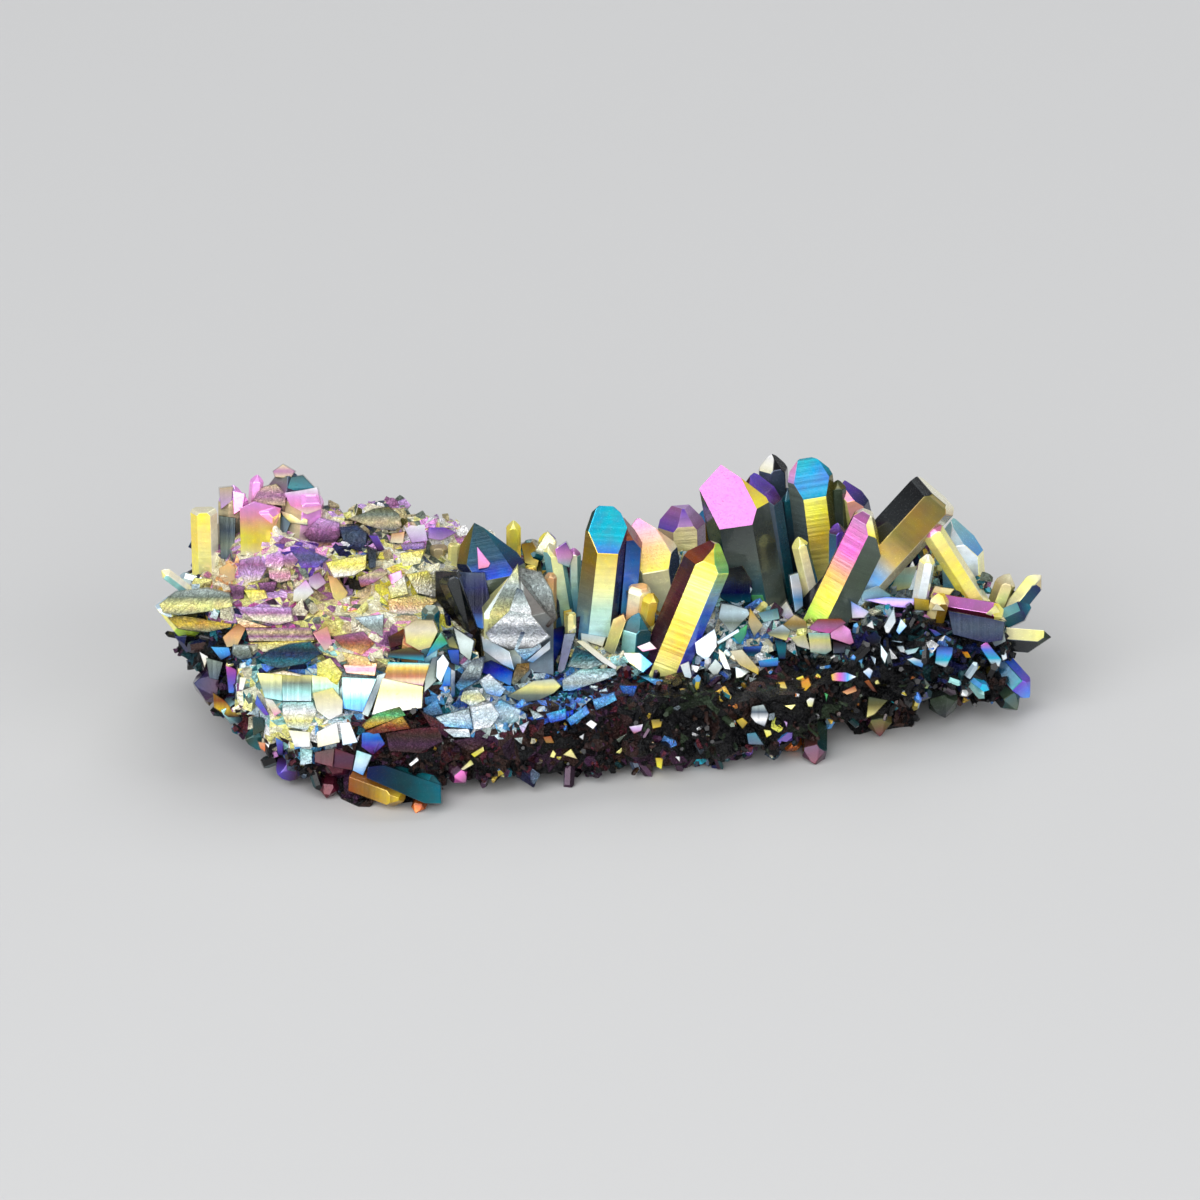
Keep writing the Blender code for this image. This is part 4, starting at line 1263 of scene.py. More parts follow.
ROUGH_SHARDS = (
    # grainy and torn faces of the crust
    Shard("250,500 257,487 273,483 283,493 283,505 262,503", "beige>mauve>beige"),
    Shard("317,517 337,522 338,535 327,553 310,543 301,533", "lilac>mauve>plum>peach", rise=0.8),
    Shard("338,527 355,525 365,533 365,547 353,551 342,542", "navy>slate>navy", rise=0.9),
    Shard("291,552 300,547 327,558 317,567 300,568", "violet>slate>violet", rise=0.8),
    Shard("267,570 288,568 290,580 277,583 268,578", "cream>pink>cream"),
    Shard("325,562 345,558 365,555 365,568 353,575 333,577", "straw>yellow>white", rise=0.9),
    Shard("257,583 275,582 273,592 260,592", "mauve>plum"),
    Shard("243,590 263,590 267,598 250,602", "yellow>straw"),
    Shard("229,585 243,587 243,598 232,600", "mauve>plum>mauve"),
    Shard("347,578 357,580 365,587 357,590 348,588", "black", rise=0.6),
    Shard("367,547 375,550 375,567 368,568", "black>slate", rise=0.6),
    Shard("357,577 380,568 387,573 372,583 360,587", "mauve>beige>mauve>rust", rise=0.7),
    Shard("237,560 257,555 265,568 258,580 243,583 237,570", "lilac>mauve>lilac>cream"),
    Shard("265,555 279,551 285,562 277,571 263,567", "lilac>orchid>cream"),
    Shard("281,556 290,552 297,560 290,569 283,567", "lilac>mauve>beige", rise=0.7),
    Shard("387,587 403,575 407,594 390,598", "white>straw", rise=0.9),
    Shard("405,575 427,572 437,587 438,598 417,594", "yellow>cream>white", rise=0.9),
    Shard("388,600 417,595 437,600 423,612 407,617 389,611", "straw>peach>white", rise=0.8),
    Shard("348,518 372,508 387,506 397,513 400,525 393,530 372,527", "olive>sage>beige>slate", rise=0.5),
    Shard("400,545 423,543 423,548 403,551", "lilac>violet"),
    Shard("400,553 423,550 420,563 402,567", "yellow>cream"),
    Shard("237,607 290,608 293,621 277,625 253,620", "lilac>mauve>cream>mauve", rise=1.0),
    Shard("235,617 253,622 273,627 239,627", "cream>peach", rise=0.8),
    Shard("245,628 310,628 314,640 293,641 267,641 249,641", "mauve>beige>mauve>cream", rise=1.3),
    Shard("250,643 293,641 315,641 295,646 263,652", "yellow>cream", rise=1.3),
    Shard("257,658 270,650 290,644 310,642 322,653 305,663 280,668 267,665", "teal>pine>navy>teal>slate",
          rise=1.4),
    Shard("233,645 248,645 253,657 240,660 232,653", "silver>sage>slate"),
    Shard("250,663 267,667 288,670 313,665 300,676 267,673", "peach>cream", rise=1.0),
    Shard("333,637 363,632 375,643 362,655 342,647", "mauve>rust>peach", rise=0.7),
    Shard("342,652 367,657 372,665 350,665", "straw>peach"),
    Shard("350,618 383,615 383,642 367,628", "ice>sage>white"),
    Shard("323,655 335,658 343,668 333,664", "plum>mauve"),
    Shard("317,663 330,658 342,673 337,685 317,676", "straw>yellow"),
    Shard("283,702 313,702 317,712 308,730 288,727 283,715", "aqua>white>straw>ice", rise=0.7),
    Shard("312,750 300,748 300,765 312,763", "aqua>ice"),
    Shard("363,725 378,713 400,707 406,715 388,722 367,731", "olive>green>gold>rust", rise=0.8),
    Shard("366,731 403,717 411,728 375,734", "gold>rust>maroon", rise=0.7),
    Shard("158,604 174,592 204,588 228,593 232,606 210,611 176,615 161,612", "silver>sage>straw>sage",
          rise=1.0),
    Shard("161,612 180,615 214,611 232,608 230,627 204,632 176,628", "straw>olive>gold>sage", rise=1.0),
    Shard("486,633 509,611 531,615 549,637 532,648 510,650 491,642", "silver>white>slate>white>black",
          rise=1.1),
    Shard("504,586 517,566 520,590 507,618 487,634 490,612", "straw>silver>sage>straw>slate", rise=0.3),
    Shard("519,568 540,572 551,590 557,618 548,628 531,610 521,590", "grey>silver>grey>brown", rise=0.6),
    Shard("517,588 522,590 531,610 531,615 509,612", "slate>silver>white", rise=0.5),
    Shard("526,617 534,634 549,637 543,647 524,661 514,650", "azure>navy>ice>sky", rise=0.7),
    Shard("471,660 484,657 480,680 460,691 455,686", "slate>silver>slate>sky", rise=0.7),
    Shard("517,664 529,663 529,670 514,686 511,683", "ochre>sage", rise=0.5),
    Shard("576,647 590,653 604,664 586,669 568,666", "slate>teal>silver"),
    Shard("563,680 583,669 616,669 617,676 597,683 580,691 563,691", "aqua>ice>silver>sky", rise=0.8),
    Shard("471,707 491,703 500,714 491,727 474,729", "white>ice>white", rise=1.0),
    Shard("436,717 469,709 474,729 443,726", "silver>ice>sky", rise=0.8),
    Shard("500,700 521,709 519,721 499,726 492,709", "sky>ice>teal", rise=0.8),
    Shard("480,680 489,674 506,689 500,697 486,693", "white>ice>sky", rise=0.8),
    Shard("460,700 463,691 477,689 486,700 471,706", "ice>straw>ice", rise=0.7),
    Shard("423,709 437,700 443,714 426,717", "sky>slate"),
    Shard("443,729 469,729 471,737 454,737", "white>ice"),
    Shard("519,726 529,721 523,733", "ice>lilac"),
    Shard("530,709 544,716 534,719", "sage>ice"),
    Shard("546,714 566,709 566,719 551,723", "cyan>azure>blue", rise=0.7),
    Shard("567,719 586,706 590,713 571,726", "azure>sky>blue", rise=0.7),
    Shard("593,700 614,693 617,700 596,711", "azure>sky>navy", rise=0.7),
    Shard("620,686 637,686 634,697 623,694", "blue>navy"),
    Shard("643,677 664,680 657,686", "sky>azure"),
    # brown torn rock right of the ridge
    Shard("386,733 412,729 438,727 443,741 420,753 390,751", "maroon>brown>plum>brown", rise=0.5, lines=1.0),
    Shard("421,711 437,720 452,730 447,738 432,728", "brown>maroon>plum", rise=0.5, lines=1.0),
    Shard("452,741 478,737 492,744 470,753", "plum>brown", rise=0.5, lines=1.0),
)


@dataclass(frozen=True)
class Bed:
    """A patch of the surface: where it lies on the drawing, its colours, and what grows on it."""

    name: str
    middle: Pair  # across and up, in mm
    reach: Pair
    tints: str
    shade: Pair = (0.7, 1.1)
    depth: float = 9.0  # how far behind or before its middle it goes, in mm
    wraps: bool = False  # whether it goes over the rim to the far side
    chips: float = 0.2  # for each square millimetre
    chip: Pair = (0.8, 2.2)  # size, in mm
    points: float = 0.0  # small crystals for each square millimetre
    point: Pair = (0.5, 1.1)  # their width, in mm
    glints: str = "straw gold orange white cream yellow sky peach"
    glint_share: float = 0.025


# the dark front below the top: the matrix's own dark brown, made darker still as painted shade against the
# light that the floor throws up
DARK_BED = Bed(
    "dark_bed", (0, 0), (1, 1), "black black brown plum black black brown maroon black", (0.4, 1.1),
    chips=0.7, chip=(0.4, 1.2), points=0.1, point=(0.6, 1.1),
)
TOP_BED = Bed(
    "top_bed", (0, 0), (1, 1), "sage teal slate ice straw navy gold aqua cream mauve", (0.5, 1.1),
    chips=0.4, chip=(0.7, 2.0), points=0.12, point=(0.7, 1.5),
)
BACK_BED = Bed(
    "back_bed", (0, 0), (1, 1), "navy plum pine ochre black plum slate black teal brown", (0.4, 1.2),
    chips=0.45, chip=(0.6, 1.8), points=0.16, point=(0.8, 1.6),
    glints="gold azure violet cyan orchid straw sky", glint_share=0.1,
)
BEDS = (
    Bed("crust_behind", (-29.0, 33.5), (18.0, 8.0), "beige cream sage lilac mauve straw cream slate",
        (0.7, 1.2), depth=24, wraps=True),
    Bed("crust_top", (-36.5, 30.5), (12.0, 8.0),
        "lilac cream mauve cream beige orchid cream lilac mauve pink", (0.85, 1.3), depth=14),
    Bed("crust_top_right", (-24.5, 32.5), (9.5, 5.0), "cream lilac straw beige cream orchid white",
        (0.85, 1.3), depth=14),
    Bed("crust_rim", (-27.0, 35.0), (4.0, 2.2), "beige sage olive cream", depth=10),
    Bed("crust_middle", (-36.0, 25.0), (11.0, 4.0), "straw cream pink beige cream straw lilac mauve sage",
        (0.85, 1.3), depth=12),
    Bed("crust_right", (-24.0, 26.5), (8.0, 6.0),
        "cream straw cream beige yellow ice white cream sage slate", (0.85, 1.3), depth=12),
    Bed("peach_edge", (-48.0, 28.0), (2.2, 4.0), "peach beige cream pink"),
    Bed("crust_violet", (-37.5, 30.4), (2.2, 1.7), "violet violet mauve", (0.6, 1.0)),
    Bed("crust_navy", (-31.0, 32.4), (2.2, 1.7), "navy slate navy azure", (0.6, 1.0)),
    Bed("crust_yellow", (-31.0, 29.2), (2.2, 1.4), "yellow straw straw", (0.9, 1.2)),
    Bed("crust_holes", (-31.2, 27.0), (1.0, 0.8), "black", (0.5, 1.0), chips=0.1),
    Bed("crust_hole", (-29.0, 30.2), (0.5, 1.3), "black", (0.5, 1.0), chips=0.1),
    Bed("lower_crust", (-36.5, 13.0), (8.5, 7.5), "straw cream aqua ice white straw sage", (0.8, 1.15),
        depth=12),
    Bed("lower_crust_right", (-30.0, 12.0), (4.0, 5.0), "ice aqua sky white aqua", (0.8, 1.1), depth=10),
    Bed("mauve_shelf", (-42.0, 23.4), (5.0, 1.5), "mauve mauve magenta lilac cream plum", (0.7, 1.1)),
    Bed("mauve_shelf_low", (-41.2, 19.8), (6.0, 1.5), "mauve plum magenta lilac mauve cream", (0.7, 1.1)),
    Bed("blue_lens", (-39.2, 17.6), (4.4, 1.4), "navy teal azure navy teal", (0.7, 1.2), chip=(0.4, 0.8)),
    Bed("crust_cream", (-28.5, 20.5), (6.0, 3.5), "straw cream beige pink cream mauve", (0.85, 1.25)),
    Bed("left_dark", (-50.5, 15.5), (6.0, 6.5), "black navy black pine black black plum", (0.4, 1.0),
        chips=0.4, chip=(0.6, 1.6), points=0.08),
    Bed("white_crust", (-34.5, 7.0), (3.6, 2.2), "white ice aqua sky", (0.8, 1.2)),
    Bed("rainbow_ridge", (-27.5, 9.4), (4.5, 1.6), "rust gold olive teal brown maroon", (0.7, 1.1),
        chip=(0.3, 0.7)),
    Bed("brown_rock", (-19.0, 7.6), (12.0, 3.4), "brown black maroon brown brown plum black", (0.3, 1.0),
        chips=1.4, chip=(0.3, 0.9)),
    Bed("white_rock", (-15.5, 11.4), (6.0, 4.0), "white ice ice silver sky azure teal", (0.6, 1.2),
        chips=1.6, chip=(0.4, 1.1)),
    Bed("foil_rock", (-10.5, 16.0), (5.0, 3.0), "silver ice slate black sky silver", (0.6, 1.2), chips=1.0,
        chip=(0.5, 1.3)),
    Bed("blue_rock", (-4.0, 14.6), (6.0, 2.6), "navy azure ice teal slate navy", (0.5, 1.2), chips=1.4,
        chip=(0.4, 1.0)),
    Bed("blue_streak", (-2.0, 11.2), (6.0, 1.5), "azure blue sky brown navy", (0.6, 1.2), chips=2.2,
        chip=(0.25, 0.7)),
    Bed("plum_rock", (6.0, 11.4), (9.0, 3.0), "brown maroon black black plum", (0.3, 1.0), chips=1.4,
        chip=(0.3, 0.9)),
    Bed("cream_foot", (0.6, 18.2), (5.0, 1.8), "cream ice straw aqua", (0.7, 1.1), chips=1.0),
    Bed("silver_bed", (16.5, 20.0), (6.0, 4.4), "silver ice cream white teal slate azure", (0.6, 1.2),
        chips=1.2, chip=(0.7, 1.7), points=0.2, point=(0.7, 1.4)),
    Bed("pale_bed", (27.5, 20.8), (4.5, 2.6), "cream straw aqua white pink", (0.7, 1.1), chips=1.0,
        chip=(0.7, 1.6)),
    Bed("right_druse", (38.0, 18.0), (13.5, 5.0), "black black navy black black pine black", (0.3, 1.2),
        chips=0.4, chip=(0.6, 1.7), points=0.3, point=(0.6, 1.4),
        glints="ice white sky azure cyan white aqua", glint_share=0.16),
    Bed("low_druse", (24.0, 11.0), (20.0, 5.0), "black black brown black moss black black", (0.3, 1.1),
        chips=0.5, chip=(0.4, 1.4), points=0.1, point=(0.5, 1.1),
        glints="gold orange straw white rust yellow ice", glint_share=0.08),
)


@dataclass
class Ground:
    """The solid's surface in millimetres: small pieces are seated on it and beds are laid out on it."""

    node: bpy.types.Object
    crystals: tuple[Crystal, ...]
    sight: float = 100.0  # how far before the drawing's zero a line of sight starts
    spike: float = 1.0  # how far a widened outline's corners may stand out from the outline
    root: float = 0.2  # how far below its foot a crystal still takes up the rock
    corners: np.ndarray = field(init=False)
    normals: np.ndarray = field(init=False)
    areas: np.ndarray = field(init=False)
    tree: BVHTree = field(init=False)
    # the outline and the plane of each shard that stands before the rock
    covers: list[tuple[np.ndarray, np.ndarray]] = field(default_factory=list)

    def __post_init__(self) -> None:
        """Read the node's triangles."""
        mesh = self.node.data
        mesh.calc_loop_triangles()
        points = np.array([vertex.co[:] for vertex in mesh.vertices]) / MM
        faces = np.array([triangle.vertices[:] for triangle in mesh.loop_triangles])
        self.corners = points[faces]
        crossed = np.cross(self.corners[:, 1] - self.corners[:, 0], self.corners[:, 2] - self.corners[:, 0])
        size = np.linalg.norm(crossed, axis=1)
        self.areas = size / 2
        self.normals = crossed / np.maximum(size, 1e-12)[:, None]
        self.tree = BVHTree.FromPolygons(points.tolist(), faces.tolist())

    def seat(self, across: float, up: float) -> Vector | None:
        """Find the rock behind a place on the drawing.

        Args:
            across: the place.
            up: the place.

        Returns:
            Where the line of sight meets the surface, or nothing.
        """
        start = DRAWING.place((across, up, 0)) - DRAWING.away * self.sight
        return self.tree.ray_cast(start, DRAWING.away)[0]

    def over_shards(self, points: np.ndarray, grown: float) -> np.ndarray:
        """Measure how far points stand out before the shards that they fall on.

        Args:
            points: points in mm.
            grown: how far the shards' outlines are widened for this, in mm.

        Returns:
            For each point its way before the shard's front in mm: below zero behind it, and minus infinity
            where there is no shard.
        """
        away = points - np.array(DRAWING.zero)
        across, up, deep = (away @ np.array(way) for way in (DRAWING.right, DRAWING.up, DRAWING.away))
        found = np.full(len(points), -np.inf)
        for corners, plane in self.covers:
            (left, low), (right, high) = corners.min(axis=0) - self.spike, corners.max(axis=0) + self.spike
            near = (across > left) & (across < right) & (up > low) & (up < high)
            for corner, following in zip(corners, np.roll(corners, -1, axis=0)):
                edge = (following - corner) / np.linalg.norm(following - corner)
                near &= (across - corner[0]) * edge[1] - (up - corner[1]) * edge[0] < grown
            front = plane[0] + plane[1] * across + plane[2] * up
            found[near] = np.maximum(found[near], (front - deep)[near])
        return found

    def is_rock(self, points: np.ndarray, margin: float) -> np.ndarray:
        """Tell rock from the large crystals.

        Args:
            points: points in mm.
            margin: how far round a crystal its surroundings count as part of it, as a share of its radius.

        Returns:
            Whether each point lies on rock.
        """
        open_rock = np.ones(len(points), bool)
        for crystal in self.crystals:
            inverse = np.array(placing(crystal).inverted())
            local = points @ inverse[:3, :3].T + inverse[:3, 3]
            length = (DRAWING.place(crystal.tip) - DRAWING.place(crystal.foot)).length
            radius = crystal.width / 2
            inside = np.hypot(local[:, 0], local[:, 1]) < radius * (1 + margin)
            open_rock &= ~(inside & (local[:, 2] > -self.root) & (local[:, 2] < length + radius))
        return open_rock

    def sow(self, density: float, rng: np.random.Generator) -> tuple[np.ndarray, np.ndarray]:
        """Spread points evenly over the surface.

        Args:
            density: points for each square millimetre.
            rng: the run of chance.

        Returns:
            The points and the surface's normals there.
        """
        count = int(self.areas.sum() * density)
        chosen = rng.choice(len(self.areas), count, p=self.areas / self.areas.sum())
        first, second = rng.random(count), rng.random(count)
        over = first + second > 1
        first[over], second[over] = 1 - first[over], 1 - second[over]
        corners = self.corners[chosen]
        points = (
            corners[:, 0]
            + (corners[:, 1] - corners[:, 0]) * first[:, None]
            + (corners[:, 2] - corners[:, 0]) * second[:, None]
        )
        return points, self.normals[chosen]


@dataclass
class ShardSetter:
    """Sets shards into the crust: each is cut from a block to its outline and seated on the rock."""

    ground: Ground
    dots: float = 8.0  # of the drawing in each millimetre
    zero: Pair = (600.0, 800.0)  # the dot at the drawing's zero
    block: float = 40.0
    depth: float = 2.4
    draft: float = 0.05
    wear: float = 0.06
    step: float = 4.0  # rock further than this from the middle one of its seats isn't the shard's
    sway: float = 0.12  # how far a front leans from the rock behind it
    steepest: float = 0.75
    sink_share: float = 0.3
    fewest: int = 3  # seats that a plane takes
    spare_levels: int = 2  # how many more levels than tints a shard has
    shade_luck: Pair = (0.92, 1.08)
    front_facing: float = 0.6  # a face that looks to the front more than this is the shard's front
    # painted shade: a shard's sides are painted darker than its front by this share
    painted_side_shade: float = 0.62

    def set_all(self, name: str, shards: tuple[Shard, ...], film: bpy.types.Material) -> bpy.types.Object:
        """Cut, seat and colour the shards.

        Args:
            name: the piece's name.
            shards: the shards.
            film: the finish of their faces.

        Returns:
            The shards, joined to one piece.
        """
        looks = random.Random(name)
        blocks = [self.set_one(f"{name}_{number}", shard, looks) for number, shard in enumerate(shards)]
        return Bench.join(name, [block for block in blocks if block is not None], film)

    def lay(self, corners: np.ndarray, looks: random.Random) -> Point | None:
        """Lay a plane along the rock behind an outline.

        Args:
            corners: the outline on the drawing, and its middle, in mm.
            looks: the run of chance that it leans by.

        Returns:
            Its distance from the drawing at the zero, and how it deepens across and up; nothing without rock.
        """
        found = []
        for across, up in corners:
            seat = self.ground.seat(across, up)
            if seat is not None:
                found.append((1, across, up, (seat - DRAWING.zero).dot(DRAWING.away)))
        if len(found) < self.fewest:
            return None
        rows = np.array(found)
        middle = np.median(rows[:, 3])
        near = rows[np.abs(rows[:, 3] - middle) < self.step]
        if not len(near):
            near = rows[rows[:, 3] <= middle]
        slopes = np.zeros(2)
        if len(near) > self.fewest:
            slopes = np.linalg.lstsq(near[:, :3], near[:, 3], rcond=None)[0][1:]
        slopes = np.clip(slopes, -self.steepest, self.steepest)
        slopes += (looks.gauss(0, self.sway), looks.gauss(0, self.sway))
        left = near[:, 3] - near[:, 1:3] @ slopes
        return float(np.quantile(left, self.sink_share)), float(slopes[0]), float(slopes[1])

    def set_one(self, name: str, shard: Shard, looks: random.Random) -> bpy.types.Object | None:
        """Cut and seat one shard.

        Args:
            name: what the object is called.
            shard: its outline and wash.
            looks: the run of chance that it leans and varies by.

        Returns:
            The shard, in metres in the row frame, or nothing where no rock lies behind it.
        """
        corners = np.array([self.read_dot(text) for text in shard.outline.split()])
        centre = corners.mean(axis=0)
        plane = self.lay(np.vstack([corners, centre]), looks)
        if plane is None:
            LOG.warning("%s meets nothing", name)
            return None
        turning = 1 if self.signed_area(corners) > 0 else -1
        self.ground.covers.append((corners[::turning], np.array(plane) - (shard.rise, 0, 0)))
        facing = (DRAWING.right * plane[1] + DRAWING.up * plane[2] - DRAWING.away).normalized()
        front = self.on_plane(centre, plane, shard.rise)
        bpy.ops.mesh.primitive_cube_add(size=self.block)
        made = Bench.added(name)
        bpy.ops.transform.translate(value=front)
        Bench.break_off(front, facing)
        Bench.break_off(front - facing * self.depth, -facing)
        for start, end in zip(corners, np.roll(corners, -1, axis=0)):
            edge = (end - start) / np.linalg.norm(end - start) * turning
            outward = DRAWING.right * edge[1] - DRAWING.up * edge[0]
            side = (outward - DRAWING.away * self.draft).normalized()
            Bench.break_off(self.on_plane(start, plane, shard.rise), side)
        Bench.wear_down(self.wear)
        run = DRAWING.right if shard.across else -DRAWING.up
        reach = [run.dot(self.on_plane(corner, plane, shard.rise)) for corner in corners]
        low, high = min(reach), max(reach)
        tints = shard.wash.count(">") + 1
        levels = tints + self.spare_levels if tints > 1 else 1
        for level in range(1, levels):
            place = low + (high - low) * level / levels
            Bench.score(front + run * (place - run.dot(front)), run)
        Bench.close_outward()
        self.dress(made, shard, run, (low, high), looks)
        return made

    def read_dot(self, text: str) -> Pair:
        """A corner, written as its dots across and down, as millimetres across and up."""
        across, down = (float(number) for number in text.split(","))
        return (across - self.zero[0]) / self.dots, (self.zero[1] - down) / self.dots

    @staticmethod
    def on_plane(corner: np.ndarray, plane: Point, rise: float) -> Vector:
        """The point of the plane that lies behind a corner of the drawing, brought forward by the rise."""
        depth = plane[0] + plane[1] * corner[0] + plane[2] * corner[1] - rise
        return DRAWING.zero + DRAWING.right * corner[0] + DRAWING.up * corner[1] + DRAWING.away * depth

    @staticmethod
    def signed_area(corners: np.ndarray) -> float:
        """The outline's area, below zero where its corners run clockwise."""
        following = np.roll(corners, -1, axis=0)
        return float((corners[:, 0] * following[:, 1] - following[:, 0] * corners[:, 1]).sum() / 2)

    def dress(
        self, made: bpy.types.Object, shard: Shard, run: Vector, span: Pair, looks: random.Random
    ) -> None:
        """Colour a shard by its wash, with painted shade on its sides, and put its mesh in place.

        Args:
            made: the shard, in millimetres.
            shard: its wash.
            run: the way that the wash runs.
            span: where on that way it starts and ends.
            looks: the run of chance for its shade.
        """
        mesh = made.data
        mesh.update()
        wash = lights(shard.wash, ">")
        low, high = span
        along = np.array([run.dot(vertex.co) for vertex in mesh.vertices])
        shares = np.clip((along - low) / (high - low), 0, 1)
        shade = looks.uniform(*self.shade_luck)
        colours = np.zeros((len(mesh.loops), 3))
        for polygon in mesh.polygons:
            # the sides get painted shade
            is_front = polygon.normal.dot(DRAWING.away) < -self.front_facing
            bright = shade if is_front else shade * self.painted_side_shade
            for loop in polygon.loop_indices:
                colours[loop] = blend(wash, shares[mesh.loops[loop].vertex_index]) * bright
        cross = DRAWING.up if shard.across else DRAWING.right
        stripes = np.array([cross.dot(vertex.co) for vertex in mesh.vertices]) + looks.uniform(0, LINE_RUN)
        Bench.put_film_and_light(mesh, colours)
        Bench.put_lines(mesh, stripes, shard.lines)
        Bench.settle(mesh)


@dataclass
class BedPlan:
    """Which bed each point of the surface belongs to."""

    ground: Ground
    beds: tuple[Bed, ...] = BEDS
    ragged: float = 0.9  # how far a bed's edge wanders, in mm
    front_facing: float = 0.1
    top_from: float = 14.5  # the top begins at this height on the drawing 20 mm left of its middle,
    top_climb: float = 0.13  # and so much higher with each millimetre to the right
    top_start: float = -20.0
    overhang: float = 0.2  # how far a face of the top may look down
    rear: float = 40.0  # what lies further back than this is the back's

    def assign(self, points: np.ndarray, normals: np.ndarray, rng: np.random.Generator) -> np.ndarray:
        """Find the bed of each point.

        Args:
            points: points of the surface, in mm.
            normals: which way it faces there.
            rng: the run of chance that makes the edges ragged.

        Returns:
            A place in `all_beds` for each point.
        """
        across, up, back = DRAWING.read(points).T
        ragged = np.column_stack([across, up]) + rng.normal(0, self.ragged, (len(points), 2))
        front = normals @ np.array(DRAWING.away) < self.front_facing
        dark, top, behind = range(len(self.beds), len(self.beds) + 3)
        chosen = np.full(len(points), dark)
        upper = up > self.top_from + self.top_climb * (across - self.top_start)
        chosen[upper & (normals[:, 2] > -self.overhang)] = top
        chosen[~front | (back > self.rear)] = behind
        for number, bed in enumerate(self.beds):
            seat = self.ground.seat(*bed.middle)
            if seat is None:
                LOG.warning("bed %s meets nothing", bed.name)
                continue
            depth = DRAWING.read(np.array([seat[:]]))[0, 2]
            inside = (((ragged - bed.middle) / bed.reach) ** 2).sum(axis=1) < 1
            chosen[inside & (np.abs(back - depth) < bed.depth) & (front | bed.wraps)] = number
        return chosen

    @property
    def all_beds(self) -> tuple[Bed, ...]:
        """The beds, then the ones for the rest: the dark front, the top and the back."""
        return (*self.beds, DARK_BED, TOP_BED, BACK_BED)


